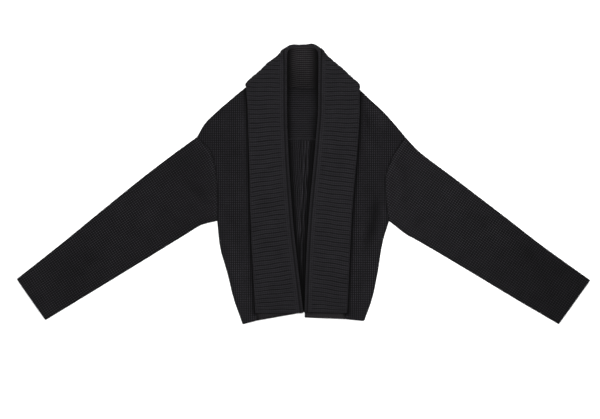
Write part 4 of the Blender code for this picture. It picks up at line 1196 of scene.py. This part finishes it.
def collar_fall():
    rows, ribs, threads = rib_stations()
    outer_border = [Curve(enumerate(part)) for part in zip(*BORDER_OUTER)]
    inner_border = [Curve(enumerate(part)) for part in zip(*BORDER_INNER)]
    outer_places = np.linspace(0, len(BORDER_OUTER) - 1, OUTER_POINTS)
    inner_places = np.linspace(0, len(BORDER_INNER) - 1, INNER_POINTS)
    outer, inner = [], []
    for s in rows:
        rim = collar.border(s, *(curve(outer_places) for curve in outer_border))
        cloth = collar.row(s, FALL_OUTER, rim[-1], shares(19), shares(9), shares(7))
        outer.append(np.concatenate([rim, cloth]))
        rim = collar.border(s, *(curve(inner_places) for curve in inner_border))
        cloth = collar.row(s, FALL_INNER, rim[-1], shares(4), shares(5), shares(3))
        inner.append(np.concatenate([rim, cloth]))
    outer, inner = np.array(outer), np.array(inner)
    strip = run_across(outer)

    # The ribs stand between the border and the free edge, each a little higher or lower.
    begin = strip[:, OUTER_POINTS - 1 : OUTER_POINTS]
    window = smooth(0, RIB_START, strip - begin)
    window = window * (1 - smooth(-RIB_END - 1.0, -0.5, strip - strip[:, -1:]))
    window[:, :OUTER_POINTS] = 0
    uneven = np.random.default_rng(4).uniform(0.0, 1.0, len(rows) // RIB_ROWS + 1)
    uneven = np.repeat(uneven, RIB_ROWS)[: len(rows), None]
    relief = COLLAR_RIB * ribs * window * lerp(*RIB_VARIES, uneven)
    on_chest = np.s_[: len(rows) // 4, OUTER_POINTS + 4]
    outer = outer + facing_up(outer, on_chest) * relief[:, :, None]

    # Where the strip lies flat on top, the ribs wander.
    phase = np.random.default_rng(9).uniform(-1.4, 1.4, (2, len(rows) // RIB_ROWS + 2))
    at_rib = np.arange(len(rows)) / RIB_ROWS
    phase = [np.interp(at_rib, np.arange(len(run)), run)[:, None] for run in np.cumsum(phase, axis=1)]
    wander = sum(wave.height * np.sin(strip / wave.length + turn) for wave, turn in zip(WANDER, phase))
    first, last = collar.corners
    turned = smooth(-20, 0, rows - first) * smooth(-20, 0, last - rows)
    ends = smooth(0, 12, rows) * smooth(0, 12, collar.length - rows)
    wander = wander * window * ((1 - turned) * ends)[:, None]
    outer[:, :, 1] += wander * (outer[:, :, 2] > BORDER_HALF)
    outer[:, :, 2] = np.maximum(outer[:, :, 2], 0.0)

    points = closed(np.concatenate([outer, inner[:, ::-1]], axis=1))
    inner_strip = np.linspace(strip[:, -1], strip[:, 0], inner.shape[1]).T + OTHER_SIDE
    across = closed(np.concatenate([strip, inner_strip], axis=1))
    places = np.stack(np.broadcast_arrays(threads[:, None], across), axis=2)
    # Painted shade: the furrows between the ribs, varied at random, the border's groove, and a line at
    # either cast-off end.
    blotches = np.sin(strip / 15 + 3 * phase[0]) * np.sin(strip / 41 + 2 * phase[1])
    furrow = FURROW_SHADE * (1 + uneven + blotches)
    groove = bell((strip - strip[:, :1] - GROOVE) / GROOVE_WIDTH)
    hem_line = bell(np.minimum(rows, collar.length - rows) / HEM_LINE)[:, None]
    shade = (1 - GROOVE_SHADE * groove) * (1 - HEM_SHADE * hem_line)
    painted_light = lerp(furrow, 1.0, lerp(1.0, ribs, window)) * shade
    painted_light = closed(np.concatenate([painted_light, np.ones(inner.shape[:2])], axis=1))
    return knitted("collar_fall_knit", points, places, painted_light, fall_wool)


fall_piece = collar_fall()
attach(fall_piece, "root")
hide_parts("collar_fall")
